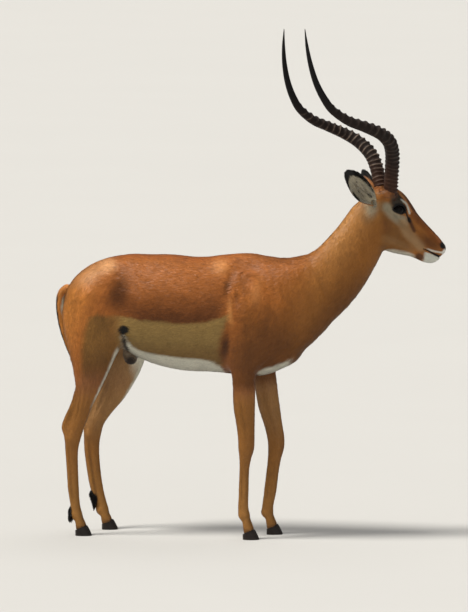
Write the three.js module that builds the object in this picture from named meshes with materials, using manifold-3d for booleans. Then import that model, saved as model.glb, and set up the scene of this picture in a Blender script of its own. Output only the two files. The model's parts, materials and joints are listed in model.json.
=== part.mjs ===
// Impala ram (Aepyceros melampus), standing square with the head turned to its left.
// Millimetres, +Z up, +X towards the head, +Y to the animal's left, hoof soles at z = 0.
// The body is one smooth field: chains of oval sections (each chain is a run of bone and
// muscle), blended together, with rounded muscle forms added and hollows taken away.
// The field is meshed, thinned to few facets, and parted into the named pieces by thin cuts.
import * as THREE from 'three';
import Module from 'manifold-3d';

const wasm = await Module();
wasm.setup();

// ---------------------------------------------------------------- driving dimensions
const ORIGIN_X = -25.5;           // middle of the overall length, in the working frame
const ORIGIN_Y = 51.8;            // middle of the overall width, in the working frame
const CUT_GAP = 0.6;              // width of the parting cuts
const SHORTEST_EDGE = 0.25;       // no facet has a shorter edge
const NECK_BEND_START = 120;      // where the neck begins to turn
const NECK_BEND_END = 400;        // where the turn ends and the head, which is rigid, begins
const HEAD_TURN = 38 * Math.PI / 180;  // head turned to the animal's left
const HEAD_TILT = -3.9 * Math.PI / 180; // and its crown leaned to the left
const TILT_HEIGHT = 1040;         // height of the axis of that lean
const BEND_RADIUS = (NECK_BEND_END - NECK_BEND_START) / HEAD_TURN;
const EYE_RADIUS = 17.5;
const EYE_CENTRE = [465, 32, 1033];     // head frame, one side
const EYE_SQUASH = [1.06, 1.0, 0.98];
const HORN_SIDES = 8;
const HORN_RIDGES = 12;           // coarse rings that stand for the many annulations
const HORN_RIDGE_DEPTH = 0.055;   // of the radius
const HORN_RIDGE_END = 0.66;      // the last third of the horn is smooth
const EAR_THICKNESS = 3.2;
const CLAW_LENGTH = 51;
const CLAW_WIDTH = 19.5;
const CLAW_HEEL_HEIGHT = 17;
const CLAW_TOE_HEIGHT = 33;       // height of the coronet above the toe
const CLAW_TOP_SCALE = 0.66;      // length at the coronet / length at the sole
const CLAW_SPLIT = 1.6;           // half of the gap between the two claws
const THIGH_INSIDE = 34;          // the legs part from the trunk outside this half width
const FORELEG_INSIDE = 28;

// ---------------------------------------------------------------- tables of sections
// [x, y, z, half depth, half breadth, pear]: depth is measured across the run in the
// XZ plane, breadth across the animal; pear > 0 makes the underside the broader one.
const CHAINS = {
  // barrel, from rump to shoulder
  trunk: { frame: 'body', blend: 0, rows: [
    [-467, 0, 726, 132.9, 102, 0], [-441, 0, 735, 141.1, 111, 0], [-383, 0, 741, 149.6, 117, 0.1],
    [-325, 0, 727, 163.8, 125, 0.1], [-261, 0, 713, 178.9, 133, 0.1], [-196, 0, 704, 182.7, 136, 0.1],
    [-126, 0, 704, 183.6, 133, 0.2], [-61, 0, 706, 189.9, 122, 0.3], [3, 0, 704, 195.3, 106, 0.3]] },
  // neck, laid out straight
  neck: { frame: 'neck', blend: 45, steps: 5, rows: [
    [129, 0, 747, 141.8, 86, -0.1], [170, 0, 773, 126, 76, 0], [213, 0, 794, 112.5, 68, 0],
    [266, 0, 835, 100.8, 62, 0], [312, 0, 890, 92, 58, 0], [350, 0, 944, 85, 55, 0], [380, 0, 991, 80.3, 50, 0]] },
  // poll, forehead, nose to the muzzle
  skull: { frame: 'head', blend: 20, rows: [
    [398, 0, 1057, 46, 36, 0], [433, 0, 1063, 47.9, 41, 0], [460, 0, 1049, 51.7, 43, -0.1],
    [491, 0, 1021, 44.1, 40, -0.1], [518, 0, 992, 39.4, 31, 0.1], [549, 0, 963, 36.2, 26.5, 0.1],
    [579, 0, 935, 34.6, 25.5, 0.1], [603, 0, 913, 32.1, 27, 0.1], [621, 0, 904, 23.3, 24.5, 0]] },
  // cheek, jaw and chin
  jaw: { frame: 'head', blend: 14, rows: [
    [436, 0, 961, 53.5, 30, 0], [464, 0, 939, 42.8, 31, 0], [498, 0, 922, 33.4, 28, 0], [526, 0, 912, 29.6, 24.5, 0],
    [550, 0, 900, 27.1, 22, 0], [574, 0, 887, 25.2, 20, 0], [594, 0, 879, 20.5, 20, 0], [610, 0, 877, 11.3, 18, 0]] },
  // right foreleg, from the upper arm to the fetlock
  fore_r: { frame: 'body', blend: 34, rows: [
    [52, -78, 690, 88.2, 40, 0], [6, -88, 602, 59.9, 36, 0], [-6, -84, 550, 41.6, 31, 0],
    [-6, -78, 486, 37.8, 27, 0], [-6, -75, 426, 35.9, 25.5, 0], [-2, -73, 362, 29.9, 23, 0],
    [0, -72, 318, 27.1, 22.5, 0], [0, -72, 289, 25.8, 22.5, 0], [-3, -72, 261, 20.2, 17.5, 0],
    [-6, -71, 226, 15.8, 13.5, 0], [-8, -71, 181, 14.2, 12.5, 0], [-9, -71, 137, 13.9, 13, 0],
    [-10, -70, 102, 15.8, 15, 0], [-8, -70, 77, 18.6, 18, 0]] },
  // left foreleg, set a little forward
  fore_l: { frame: 'body', blend: 34, rows: [
    [51, 78, 687, 88.2, 40, 0], [23, 88, 590, 59.9, 36, 0], [22, 84, 534, 42.2, 31, 0], [32, 78, 471, 37.8, 27, 0],
    [42, 75, 411, 35.3, 25.5, 0], [57, 73, 348, 29.3, 23, 0], [65, 72, 308, 28, 22.5, 0],
    [66, 72, 279, 26.1, 22.5, 0], [61, 72, 247, 20.8, 17.5, 0], [56, 71, 212, 17, 13.5, 0],
    [50, 71, 168, 15.4, 12.5, 0], [44, 71, 124, 15.1, 13, 0], [39, 70, 92, 16.4, 15, 0], [37, 70, 70, 19.2, 18, 0]] },
  // right hind leg, from the haunch to the fetlock
  hind_r: { frame: 'body', blend: 32, rows: [
    [-482, -50, 739, 100.8, 60, 0], [-487, -64, 683, 105.5, 60, 0], [-492, -74, 621, 88.2, 54, 0],
    [-496, -81, 558, 66.8, 44, 0], [-502, -84, 508, 51, 36, 0], [-509, -85, 463, 37.8, 30, 0],
    [-518, -86, 422, 27.1, 25, 0], [-528, -86, 384, 22.7, 21, 0], [-542, -86, 349, 23.3, 21, 0],
    [-556, -86, 313, 25.8, 21.5, 0], [-560, -86, 278, 21.7, 17.5, 0], [-559, -85, 240, 18.6, 14.5, 0],
    [-556, -84, 183, 16.1, 13.5, 0], [-553, -83, 126, 15.1, 14, 0], [-550, -82, 91, 16.4, 15.5, 0],
    [-547, -82, 66, 19.5, 18.5, 0]] },
  // left hind leg, set a little forward
  hind_l: { frame: 'body', blend: 32, rows: [
    [-471, 50, 729, 100.8, 60, 0], [-445, 64, 671, 105.5, 60, 0], [-434, 74, 600, 88.2, 54, 0],
    [-434, 81, 543, 69.3, 44, 0], [-446, 84, 495, 56.7, 36, 0], [-464, 85, 447, 45.7, 30, 0],
    [-485, 86, 408, 35.9, 25, 0], [-503, 86, 373, 27.7, 21, 0], [-519, 86, 344, 25.8, 21, 0],
    [-530, 86, 312, 27.4, 21.5, 0], [-533, 86, 274, 23.9, 17.5, 0], [-530, 85, 230, 21.1, 14.5, 0],
    [-522, 84, 173, 18.6, 13.5, 0], [-512, 83, 120, 17.3, 14, 0], [-505, 82, 88, 18.6, 15.5, 0],
    [-500, 82, 63, 20.8, 18.5, 0]] },
  // right Achilles tendon and point of the hock
  calc_r: { frame: 'body', blend: 10, rows: [
    [-542, -85, 456, 10.7, 12, 0], [-555, -86, 418, 8.5, 8.5, 0], [-573, -86, 380, 7.9, 8, 0],
    [-583, -86, 351, 9.4, 9.5, 0], [-582, -86, 337, 10.7, 11, 0], [-569, -86, 310, 12.6, 15, 0]] },
  // left Achilles tendon and point of the hock
  calc_l: { frame: 'body', blend: 10, rows: [
    [-508, 85, 439, 10.7, 12, 0], [-526, 86, 407, 8.5, 8.5, 0], [-542, 86, 372, 7.9, 8, 0],
    [-551, 86, 340, 9.4, 9.5, 0], [-550, 86, 324, 10.7, 11, 0], [-538, 86, 299, 12.6, 15, 0]] },
  // tail, hanging against the rump
  tail: { frame: 'body', blend: 8, rows: [
    [-594, 0, 776, 15.8, 15, 0], [-610, 0, 760, 16.4, 17, 0], [-617, 0, 728, 15.1, 19, 0],
    [-614, 0, 687, 14.5, 20, 0], [-605, 0, 642, 13.5, 20, 0], [-592, 0, 598, 11.3, 16, 0], [-583, 0, 564, 6.3, 8, 0]] },
  // one toe of a foot
  dig_fr_a: { frame: 'body', blend: 7, rows: [
    [-7, -75, 78, 14, 12, 0], [1, -79.5, 56, 12.6, 10.6, 0], [7, -81.6, 32, 14.6, 10.8, 0],
    [10, -81.9, 18, 15.6, 11, 0]] },
  // one toe of a foot
  dig_fr_b: { frame: 'body', blend: 7, rows: [
    [-7, -65, 78, 14, 12, 0], [1, -60.5, 56, 12.6, 10.6, 0], [7, -58.4, 32, 14.6, 10.8, 0],
    [10, -58.1, 18, 15.6, 11, 0]] },
  // one toe of a foot
  dig_fl_a: { frame: 'body', blend: 7, rows: [
    [38, 65, 72, 14, 12, 0], [46, 60.5, 53, 12.6, 10.6, 0], [52, 58.4, 32, 14.6, 10.8, 0],
    [56, 58.1, 18, 15.6, 11, 0]] },
  // one toe of a foot
  dig_fl_b: { frame: 'body', blend: 7, rows: [
    [38, 75, 72, 14, 12, 0], [46, 79.5, 53, 12.6, 10.6, 0], [52, 81.6, 32, 14.6, 10.8, 0],
    [56, 81.9, 18, 15.6, 11, 0]] },
  // one toe of a foot
  dig_hr_a: { frame: 'body', blend: 7, rows: [
    [-546, -87, 68, 14, 12, 0], [-538, -91.5, 51, 12.6, 10.6, 0], [-532, -93.6, 32, 14.6, 10.8, 0],
    [-529, -93.9, 18, 15.6, 11, 0]] },
  // one toe of a foot
  dig_hr_b: { frame: 'body', blend: 7, rows: [
    [-546, -77, 68, 14, 12, 0], [-538, -72.5, 51, 12.6, 10.6, 0], [-532, -70.4, 32, 14.6, 10.8, 0],
    [-529, -70.1, 18, 15.6, 11, 0]] },
  // one toe of a foot
  dig_hl_a: { frame: 'body', blend: 7, rows: [
    [-500, 77, 65, 14, 12, 0], [-492, 72.5, 50, 12.6, 10.6, 0], [-486, 70.4, 32, 14.6, 10.8, 0],
    [-482, 70.1, 18, 15.6, 11, 0]] },
  // one toe of a foot
  dig_hl_b: { frame: 'body', blend: 7, rows: [
    [-500, 87, 65, 14, 12, 0], [-492, 91.5, 50, 12.6, 10.6, 0], [-486, 93.6, 32, 14.6, 10.8, 0],
    [-482, 93.9, 18, 15.6, 11, 0]] },
  // skin between shank and tendon, right
  web_r: { frame: 'body', blend: 12, rows: [
    [-532, -86, 431, 15.8, 8, 0], [-545, -86, 396, 17, 7.5, 0], [-561, -86, 364, 17.6, 8, 0],
    [-570, -86, 338, 14.5, 10, 0]] },
  // skin between shank and tendon, left
  web_l: { frame: 'body', blend: 12, rows: [
    [-498, 86, 414, 15.8, 8, 0], [-513, 86, 385, 17, 7.5, 0], [-529, 86, 353, 17.6, 8, 0],
    [-537, 86, 328, 14.5, 10, 0]] },
  // fold of skin from stifle to flank, right
  fold_r: { frame: 'body', blend: 22, rows: [
    [-411, -98, 657, 15.8, 9, 0], [-380, -104, 661, 14.2, 9, 0], [-345, -104, 646, 15.8, 12, 0]] },
  // fold of skin from stifle to flank, left
  fold_l: { frame: 'body', blend: 22, rows: [
    [-369, 98, 625, 15.8, 9, 0], [-347, 104, 631, 14.2, 9, 0], [-315, 104, 613, 15.8, 12, 0]] },
  // side of the face, between nose and jaw
  face: { frame: 'head', blend: 16, rows: [
    [445, 0, 1001, 53.5, 34, 0], [499, 0, 959, 37.8, 28.5, 0], [548, 0, 930, 28.3, 24, 0], [582, 0, 908, 22.1, 22, 0]] },
};
// rounded forms, on both sides where y is not 0: muscle and bone added, hollows taken away
const FORMS = [
  { frame: 'body', at: [38, 74, 759], size: [34, 30, 100], tilt: 28, blend: 34 },   // shoulder blade
  { frame: 'body', at: [40, 84, 646], size: [58, 26, 36], tilt: -25, blend: 26 },   // triceps and upper arm
  { frame: 'body', at: [116, 60, 655], size: [26, 26, 30], tilt: 0, blend: 28 },   // point of the shoulder
  { frame: 'body', at: [-7, 88, 592], size: [19, 17, 20], tilt: 0, blend: 20 },   // elbow
  { frame: 'body', at: [100, 0, 594], size: [52, 54, 34], tilt: -20, blend: 34 },   // breast
  { frame: 'body', at: [-498, 64, 759], size: [58, 44, 40], tilt: 20, blend: 32 },   // rump
  { frame: 'body', at: [-408, 64, 799], size: [26, 20, 16], tilt: 0, blend: 26 },   // point of the hip
  { frame: 'body', at: [-558, 42, 686], size: [34, 36, 58], tilt: 8, blend: 24 },   // buttock
  { frame: 'body', at: [-573, 0, 681], size: [26, 30, 60], tilt: 6, blend: 22 },   // below the tail root
  { frame: 'body', at: [-396, 152, 732], size: [52, 34, 36], tilt: -25, blend: 30, hollow: true },   // hollow of the flank
  { frame: 'body', at: [-42, 150, 807], size: [12, 40, 70], tilt: 12, blend: 22, hollow: true },   // furrow behind the shoulder
  { frame: 'body', at: [-390, 0, 568], size: [26, 24, 34], tilt: 14, blend: 10 },   // scrotum
  { frame: 'head', at: [434, 31, 1081], size: [27, 24, 25], tilt: 0, blend: 12 },   // seat of the horn
  { frame: 'head', at: [471, 37, 1058], size: [22, 12, 9], tilt: -28, blend: 9 },   // brow
  { frame: 'head', at: [440, 30, 999], size: [36, 13, 16], tilt: -38, blend: 18 },   // cheek bone
  { frame: 'head', at: [432, 24, 958], size: [27, 14, 30], tilt: -20, blend: 22 },   // jaw muscle
  { frame: 'head', at: [491, 17, 962], size: [40, 14, 14], tilt: -40, blend: 18 },   // side of the face
  { frame: 'head', at: [504, 43, 998], size: [16, 11, 6], tilt: -42, blend: 8, hollow: true },   // hollow before the eye
  { frame: 'head', at: [606, 16, 917], size: [13, 9, 9], tilt: -35, blend: 10 },   // wing of the nostril
  { frame: 'head', at: [420, 0, 1088], size: [20, 30, 13], tilt: 8, blend: 16 },   // poll
];
// horn centre line [x, y, z, radius], head frame, left side
const HORN_ROWS = [
  [443, 25, 1066, 21], [440, 34.9, 1106, 21.5], [436, 54.4, 1169, 21], [426, 78.2, 1213, 20.3], [401, 108.1, 1250, 19], [362, 128.6, 1277, 17], [309, 131.2, 1300, 15.2], [254, 123.2, 1322, 14], [205, 113.8, 1357, 12.6], [177, 107.4, 1397, 11.2], [156, 99.5, 1446, 9.6], [143, 91.6, 1502, 7.6], [137, 82.8, 1558, 5], [136, 73.5, 1614, 1]];
// the ear as a leaf rolled into a cup: [along, radius of the roll, half angle of the roll]
const EAR_ROWS = [[0, 12, 140], [0.12, 16, 124], [0.25, 22, 104], [0.4, 27.5, 86], [0.56, 30.5, 72], [0.72, 31.5, 60], [0.86, 30, 45], [0.95, 25, 31], [1, 14, 20]];
const EARS = {                    // head frame; open: the way the cup faces
  r: { root: [379, -27, 1067], tip: [260, -82, 1162], open: [0.1, -0.97, -0.2], bow: 6, scale: 1.06 },
  l: { root: [381, 27, 1070], tip: [426, 138, 1153], open: [0.9, -0.35, -0.25], bow: 6, scale: 1.0 },
};
const LEGS = {                    // where each leg is cut, and the boxes that its lengths lie in
  fore_r: { x: [-90, 60], top: 505, meshTop: 505, cuts: [285, 100], box: [-90, 60], lower: [-50, 50] },
  fore_l: { x: [-60, 110], top: 498, meshTop: 498, cuts: [276, 92], box: [-60, 110], lower: [-10, 110] },
  hind_r: { front: -388, line: [-609, 585], slope: 0.235, meshTop: 650, cuts: [452, 316, 89], box: [-650, -380], lower: [-620, -470] },
  hind_l: { front: -342, line: [-590, 578], slope: 0.27, meshTop: 655, cuts: [442, 312, 86], box: [-640, -335], lower: [-600, -430] },
};
const FEET = {                    // heel of each foot on its own middle line, and how far it turns out
  fore_r: { at: [-9, -70], splay: -4 }, fore_l: { at: [37, 70], splay: 4 },
  hind_r: { at: [-547, -82], splay: -5 }, hind_l: { at: [-500, 82], splay: 5 },
};
// ---------------------------------------------------------------- small maths
const sub3 = (a, b) => [a[0] - b[0], a[1] - b[1], a[2] - b[2]];
const dot3 = (a, b) => a[0] * b[0] + a[1] * b[1] + a[2] * b[2];
const cross3 = (a, b) => [a[1] * b[2] - a[2] * b[1], a[2] * b[0] - a[0] * b[2], a[0] * b[1] - a[1] * b[0]];
const unit3 = (a) => { const l = Math.hypot(...a) || 1; return [a[0] / l, a[1] / l, a[2] / l]; };

// neck and head are laid out straight, then turned along an arc to the left
const COS_T = Math.cos(HEAD_TURN), SIN_T = Math.sin(HEAD_TURN);
const HEAD_X = NECK_BEND_START + BEND_RADIUS * SIN_T;
const HEAD_Y = BEND_RADIUS * (1 - COS_T);
function toNeck([x, y, z]) {
  if (x <= NECK_BEND_START) return [x, y, z];
  const th = Math.atan2(x - NECK_BEND_START, BEND_RADIUS - y);
  if (th >= HEAD_TURN) return toHead([x, y, z]);
  return [NECK_BEND_START + th * BEND_RADIUS, BEND_RADIUS - Math.hypot(x - NECK_BEND_START, BEND_RADIUS - y), z];
}
const COS_R = Math.cos(HEAD_TILT), SIN_R = Math.sin(HEAD_TILT);
function toHead([px, py, pz]) {
  const dx = px - HEAD_X, dy = py - HEAD_Y, y = -dx * SIN_T + dy * COS_T, z = pz - TILT_HEIGHT;
  return [NECK_BEND_END + dx * COS_T + dy * SIN_T, y * COS_R + z * SIN_R, TILT_HEIGHT - y * SIN_R + z * COS_R];
}
function fromHead([px, py, pz]) {
  const e = px - NECK_BEND_END, y = py * COS_R - (pz - TILT_HEIGHT) * SIN_R, z = TILT_HEIGHT + py * SIN_R + (pz - TILT_HEIGHT) * COS_R;
  return [HEAD_X + e * COS_T - y * SIN_T, HEAD_Y + e * SIN_T + y * COS_T, z];
}

// a smooth curve through rows of numbers
function smoothRows(rows, n) {
  const out = [];
  for (let i = 0; i < rows.length - 1; i++) {
    const p0 = rows[Math.max(i - 1, 0)], p1 = rows[i], p2 = rows[i + 1], p3 = rows[Math.min(i + 2, rows.length - 1)];
    for (let j = 0; j < n; j++) {
      const t = j / n;
      out.push(p1.map((_, c) => 0.5 * (2 * p1[c] + (p2[c] - p0[c]) * t + (2 * p0[c] - 5 * p1[c] + 4 * p2[c] - p3[c]) * t * t
        + (3 * p1[c] - p0[c] - 3 * p2[c] + p3[c]) * t * t * t)));
    }
  }
  out.push([...rows[rows.length - 1]]);
  return out;
}

// ---------------------------------------------------------------- the field
function prepare(chain) {
  const pts = smoothRows(chain.rows, chain.steps || 3);
  const seg = [];
  for (let i = 0; i + 1 < pts.length; i++) {
    const a = pts[i], b = pts[i + 1], ab = sub3(b, a);
    let nx = -ab[2], nz = ab[0];
    const m = Math.hypot(nx, nz) || 1;
    if (nz < 0 || (Math.abs(nz) < 1e-6 && nx < 0)) { nx = -nx; nz = -nz; }
    seg.push({ a, b, ab, l2: dot3(ab, ab), nx: nx / m, nz: nz / m });
  }
  const lo = [1e9, 1e9, 1e9], hi = [-1e9, -1e9, -1e9];
  for (const s of chain.rows) {
    const r = Math.max(s[3], s[4]) + 70;
    for (let c = 0; c < 3; c++) { lo[c] = Math.min(lo[c], s[c] - r); hi[c] = Math.max(hi[c], s[c] + r); }
  }
  return { ...chain, seg, lo, hi };
}
function chainDistance(P, seg) {
  let best = 1e9;
  for (const { a, b, ab, l2, nx, nz } of seg) {
    const px = P[0] - a[0], py = P[1] - a[1], pz = P[2] - a[2];
    const t = Math.min(1, Math.max(0, (px * ab[0] + py * ab[1] + pz * ab[2]) / l2));
    const qx = px - t * ab[0], qy = py - t * ab[1], qz = pz - t * ab[2];
    const rn = a[3] + t * (b[3] - a[3]), rl = a[4] + t * (b[4] - a[4]), pear = a[5] + t * (b[5] - a[5]);
    const ns = qx * nx + qz * nz, nn = Math.sqrt(qx * qx + qz * qz);
    const rle = rl * (1 - pear * Math.min(1.2, Math.max(-1.2, ns / rn)));
    const u = nn / rn, v = qy / rle;
    const k0 = Math.sqrt(u * u + v * v) + 1e-9;
    const u2 = u / rn, v2 = v / rle;
    const k1 = Math.sqrt(u2 * u2 + v2 * v2) + 1e-9;
    const d = k0 * (k0 - 1) / k1;
    if (d < best) best = d;
  }
  return best;
}
function formDistance(P, f) {
  const ca = Math.cos(f.tilt * Math.PI / 180), sa = Math.sin(f.tilt * Math.PI / 180);
  const dx = P[0] - f.at[0], dy = P[1] - f.at[1], dz = P[2] - f.at[2];
  const x = dx * ca + dz * sa, z = -dx * sa + dz * ca;
  const [rx, ry, rz] = f.size;
  const k0 = Math.sqrt((x / rx) ** 2 + (dy / ry) ** 2 + (z / rz) ** 2) + 1e-9;
  const k1 = Math.sqrt((x / rx / rx) ** 2 + (dy / ry / ry) ** 2 + (z / rz / rz) ** 2) + 1e-9;
  return k0 * (k0 - 1) / k1;
}
function blend(a, b, k) {
  if (k <= 0) return Math.min(a, b);
  const h = Math.max(k - Math.abs(a - b), 0) / k;
  return Math.min(a, b) - h * h * k * 0.25;
}
const BODY = Object.entries(CHAINS).map(([name, c]) => prepare({ name, ...c }));
const FORM_LIST = [];
for (const f of FORMS) for (const s of (f.at[1] === 0 ? [1] : [-1, 1])) FORM_LIST.push({ ...f, at: [f.at[0], s * f.at[1], f.at[2]] });
function bodyField(P, names, skip) {
  const N = toNeck(P), H = toHead(P);
  let d = 1e3, first = true;
  for (const c of BODY) {
    if (names ? !names.includes(c.name) : c.name === skip) continue;
    const Q = c.frame === 'body' ? P : c.frame === 'neck' ? N : H;
    if (Q[0] < c.lo[0] || Q[0] > c.hi[0] || Q[1] < c.lo[1] || Q[1] > c.hi[1] || Q[2] < c.lo[2] || Q[2] > c.hi[2]) continue;
    const e = chainDistance(Q, c.seg);
    d = first ? e : blend(d, e, c.blend);
    first = false;
  }
  if (names) return d;
  for (const f of FORM_LIST) {
    const Q = f.frame === 'body' ? P : H;
    const e = formDistance(Q, f);
    if (e > f.blend + 40) continue;
    d = f.hollow ? -blend(-d, e, f.blend) : blend(d, e, f.blend);
  }
  return d;
}
const flesh = (P) => bodyField(P, null, 'tail');

// ---------------------------------------------------------------- mesher
// a closed surface of the field inside a box, on a grid of step h; one vertex in each cell
// that the surface passes through
function surface(field, lo, hi, h) {
  const n = [0, 1, 2].map((c) => Math.ceil((hi[c] - lo[c]) / h[c]) + 3);
  const o = [0, 1, 2].map((c) => lo[c] - h[c]);
  const at = (i, j, k) => (i * n[1] + j) * n[2] + k;
  const val = new Float64Array(n[0] * n[1] * n[2]);
  for (let i = 0; i < n[0]; i++) for (let j = 0; j < n[1]; j++) for (let k = 0; k < n[2]; k++) {
    const P = [o[0] + i * h[0], o[1] + j * h[1], o[2] + k * h[2]];
    const box = Math.max(lo[0] - P[0], P[0] - hi[0], lo[1] - P[1], P[1] - hi[1], lo[2] - P[2], P[2] - hi[2]);
    const v = Math.max(field(P), box);
    val[at(i, j, k)] = v === 0 ? 1e-6 : v;
  }
  // where inside and outside meet crosswise on a cell's face, the surface would touch itself
  for (let pass = 0, found = 1; found && pass < 8; pass++) {
    found = 0;
    for (let i = 0; i + 1 < n[0]; i++) for (let j = 0; j + 1 < n[1]; j++) for (let k = 0; k + 1 < n[2]; k++) {
      for (const [u, v] of [[[1, 0, 0], [0, 1, 0]], [[0, 1, 0], [0, 0, 1]], [[0, 0, 1], [1, 0, 0]]]) {
        const c = [at(i, j, k), at(i + u[0], j + u[1], k + u[2]), at(i + u[0] + v[0], j + u[1] + v[1], k + u[2] + v[2]), at(i + v[0], j + v[1], k + v[2])];
        const s = c.map((q) => val[q] < 0);
        if (s[0] === s[1] || s[0] !== s[2] || s[1] !== s[3]) continue;
        const out = c.filter((q) => val[q] >= 0).sort((p, q) => val[p] - val[q])[0];
        val[out] = -0.01; found++;
      }
    }
  }
  const pos = [], tri = [], id = new Int32Array(val.length).fill(-1);
  for (let i = 0; i + 1 < n[0]; i++) for (let j = 0; j + 1 < n[1]; j++) for (let k = 0; k + 1 < n[2]; k++) {
    let sx = 0, sy = 0, sz = 0, m = 0;
    const c = (a, b, d) => val[at(i + a, j + b, k + d)];
    for (let e = 0; e < 12; e++) {
      const ax = e >> 2, p = e & 1, q = (e >> 1) & 1;
      const s = ax === 0 ? [0, p, q] : ax === 1 ? [p, 0, q] : [p, q, 0];
      const t = [...s]; t[ax] = 1;
      const fa = c(...s), fb = c(...t);
      if ((fa < 0) === (fb < 0)) continue;
      const w = fa / (fa - fb);
      sx += s[0] + w * (t[0] - s[0]); sy += s[1] + w * (t[1] - s[1]); sz += s[2] + w * (t[2] - s[2]); m++;
    }
    if (!m) continue;
    id[at(i, j, k)] = pos.length;
    pos.push([o[0] + (i + sx / m) * h[0], o[1] + (j + sy / m) * h[1], o[2] + (k + sz / m) * h[2]]);
  }
  const step = [[1, 0, 0], [0, 1, 0], [0, 0, 1]];
  for (let i = 1; i + 1 < n[0]; i++) for (let j = 1; j + 1 < n[1]; j++) for (let k = 1; k + 1 < n[2]; k++) for (let ax = 0; ax < 3; ax++) {
    const s = step[ax], a = val[at(i, j, k)] < 0, b = val[at(i + s[0], j + s[1], k + s[2])] < 0;
    if (a === b) continue;
    const u = step[(ax + 1) % 3], v = step[(ax + 2) % 3];
    const q = [id[at(i - u[0] - v[0], j - u[1] - v[1], k - u[2] - v[2])], id[at(i - v[0], j - v[1], k - v[2])],
      id[at(i, j, k)], id[at(i - u[0], j - u[1], k - u[2])]];
    if (!a) q.reverse();
    const d1 = Math.hypot(...sub3(pos[q[0]], pos[q[2]])), d2 = Math.hypot(...sub3(pos[q[1]], pos[q[3]]));
    if (d1 < d2) tri.push([q[0], q[1], q[2]], [q[0], q[2], q[3]]);
    else tri.push([q[0], q[1], q[3]], [q[1], q[2], q[3]]);
  }
  return { pos, tri };
}

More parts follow.
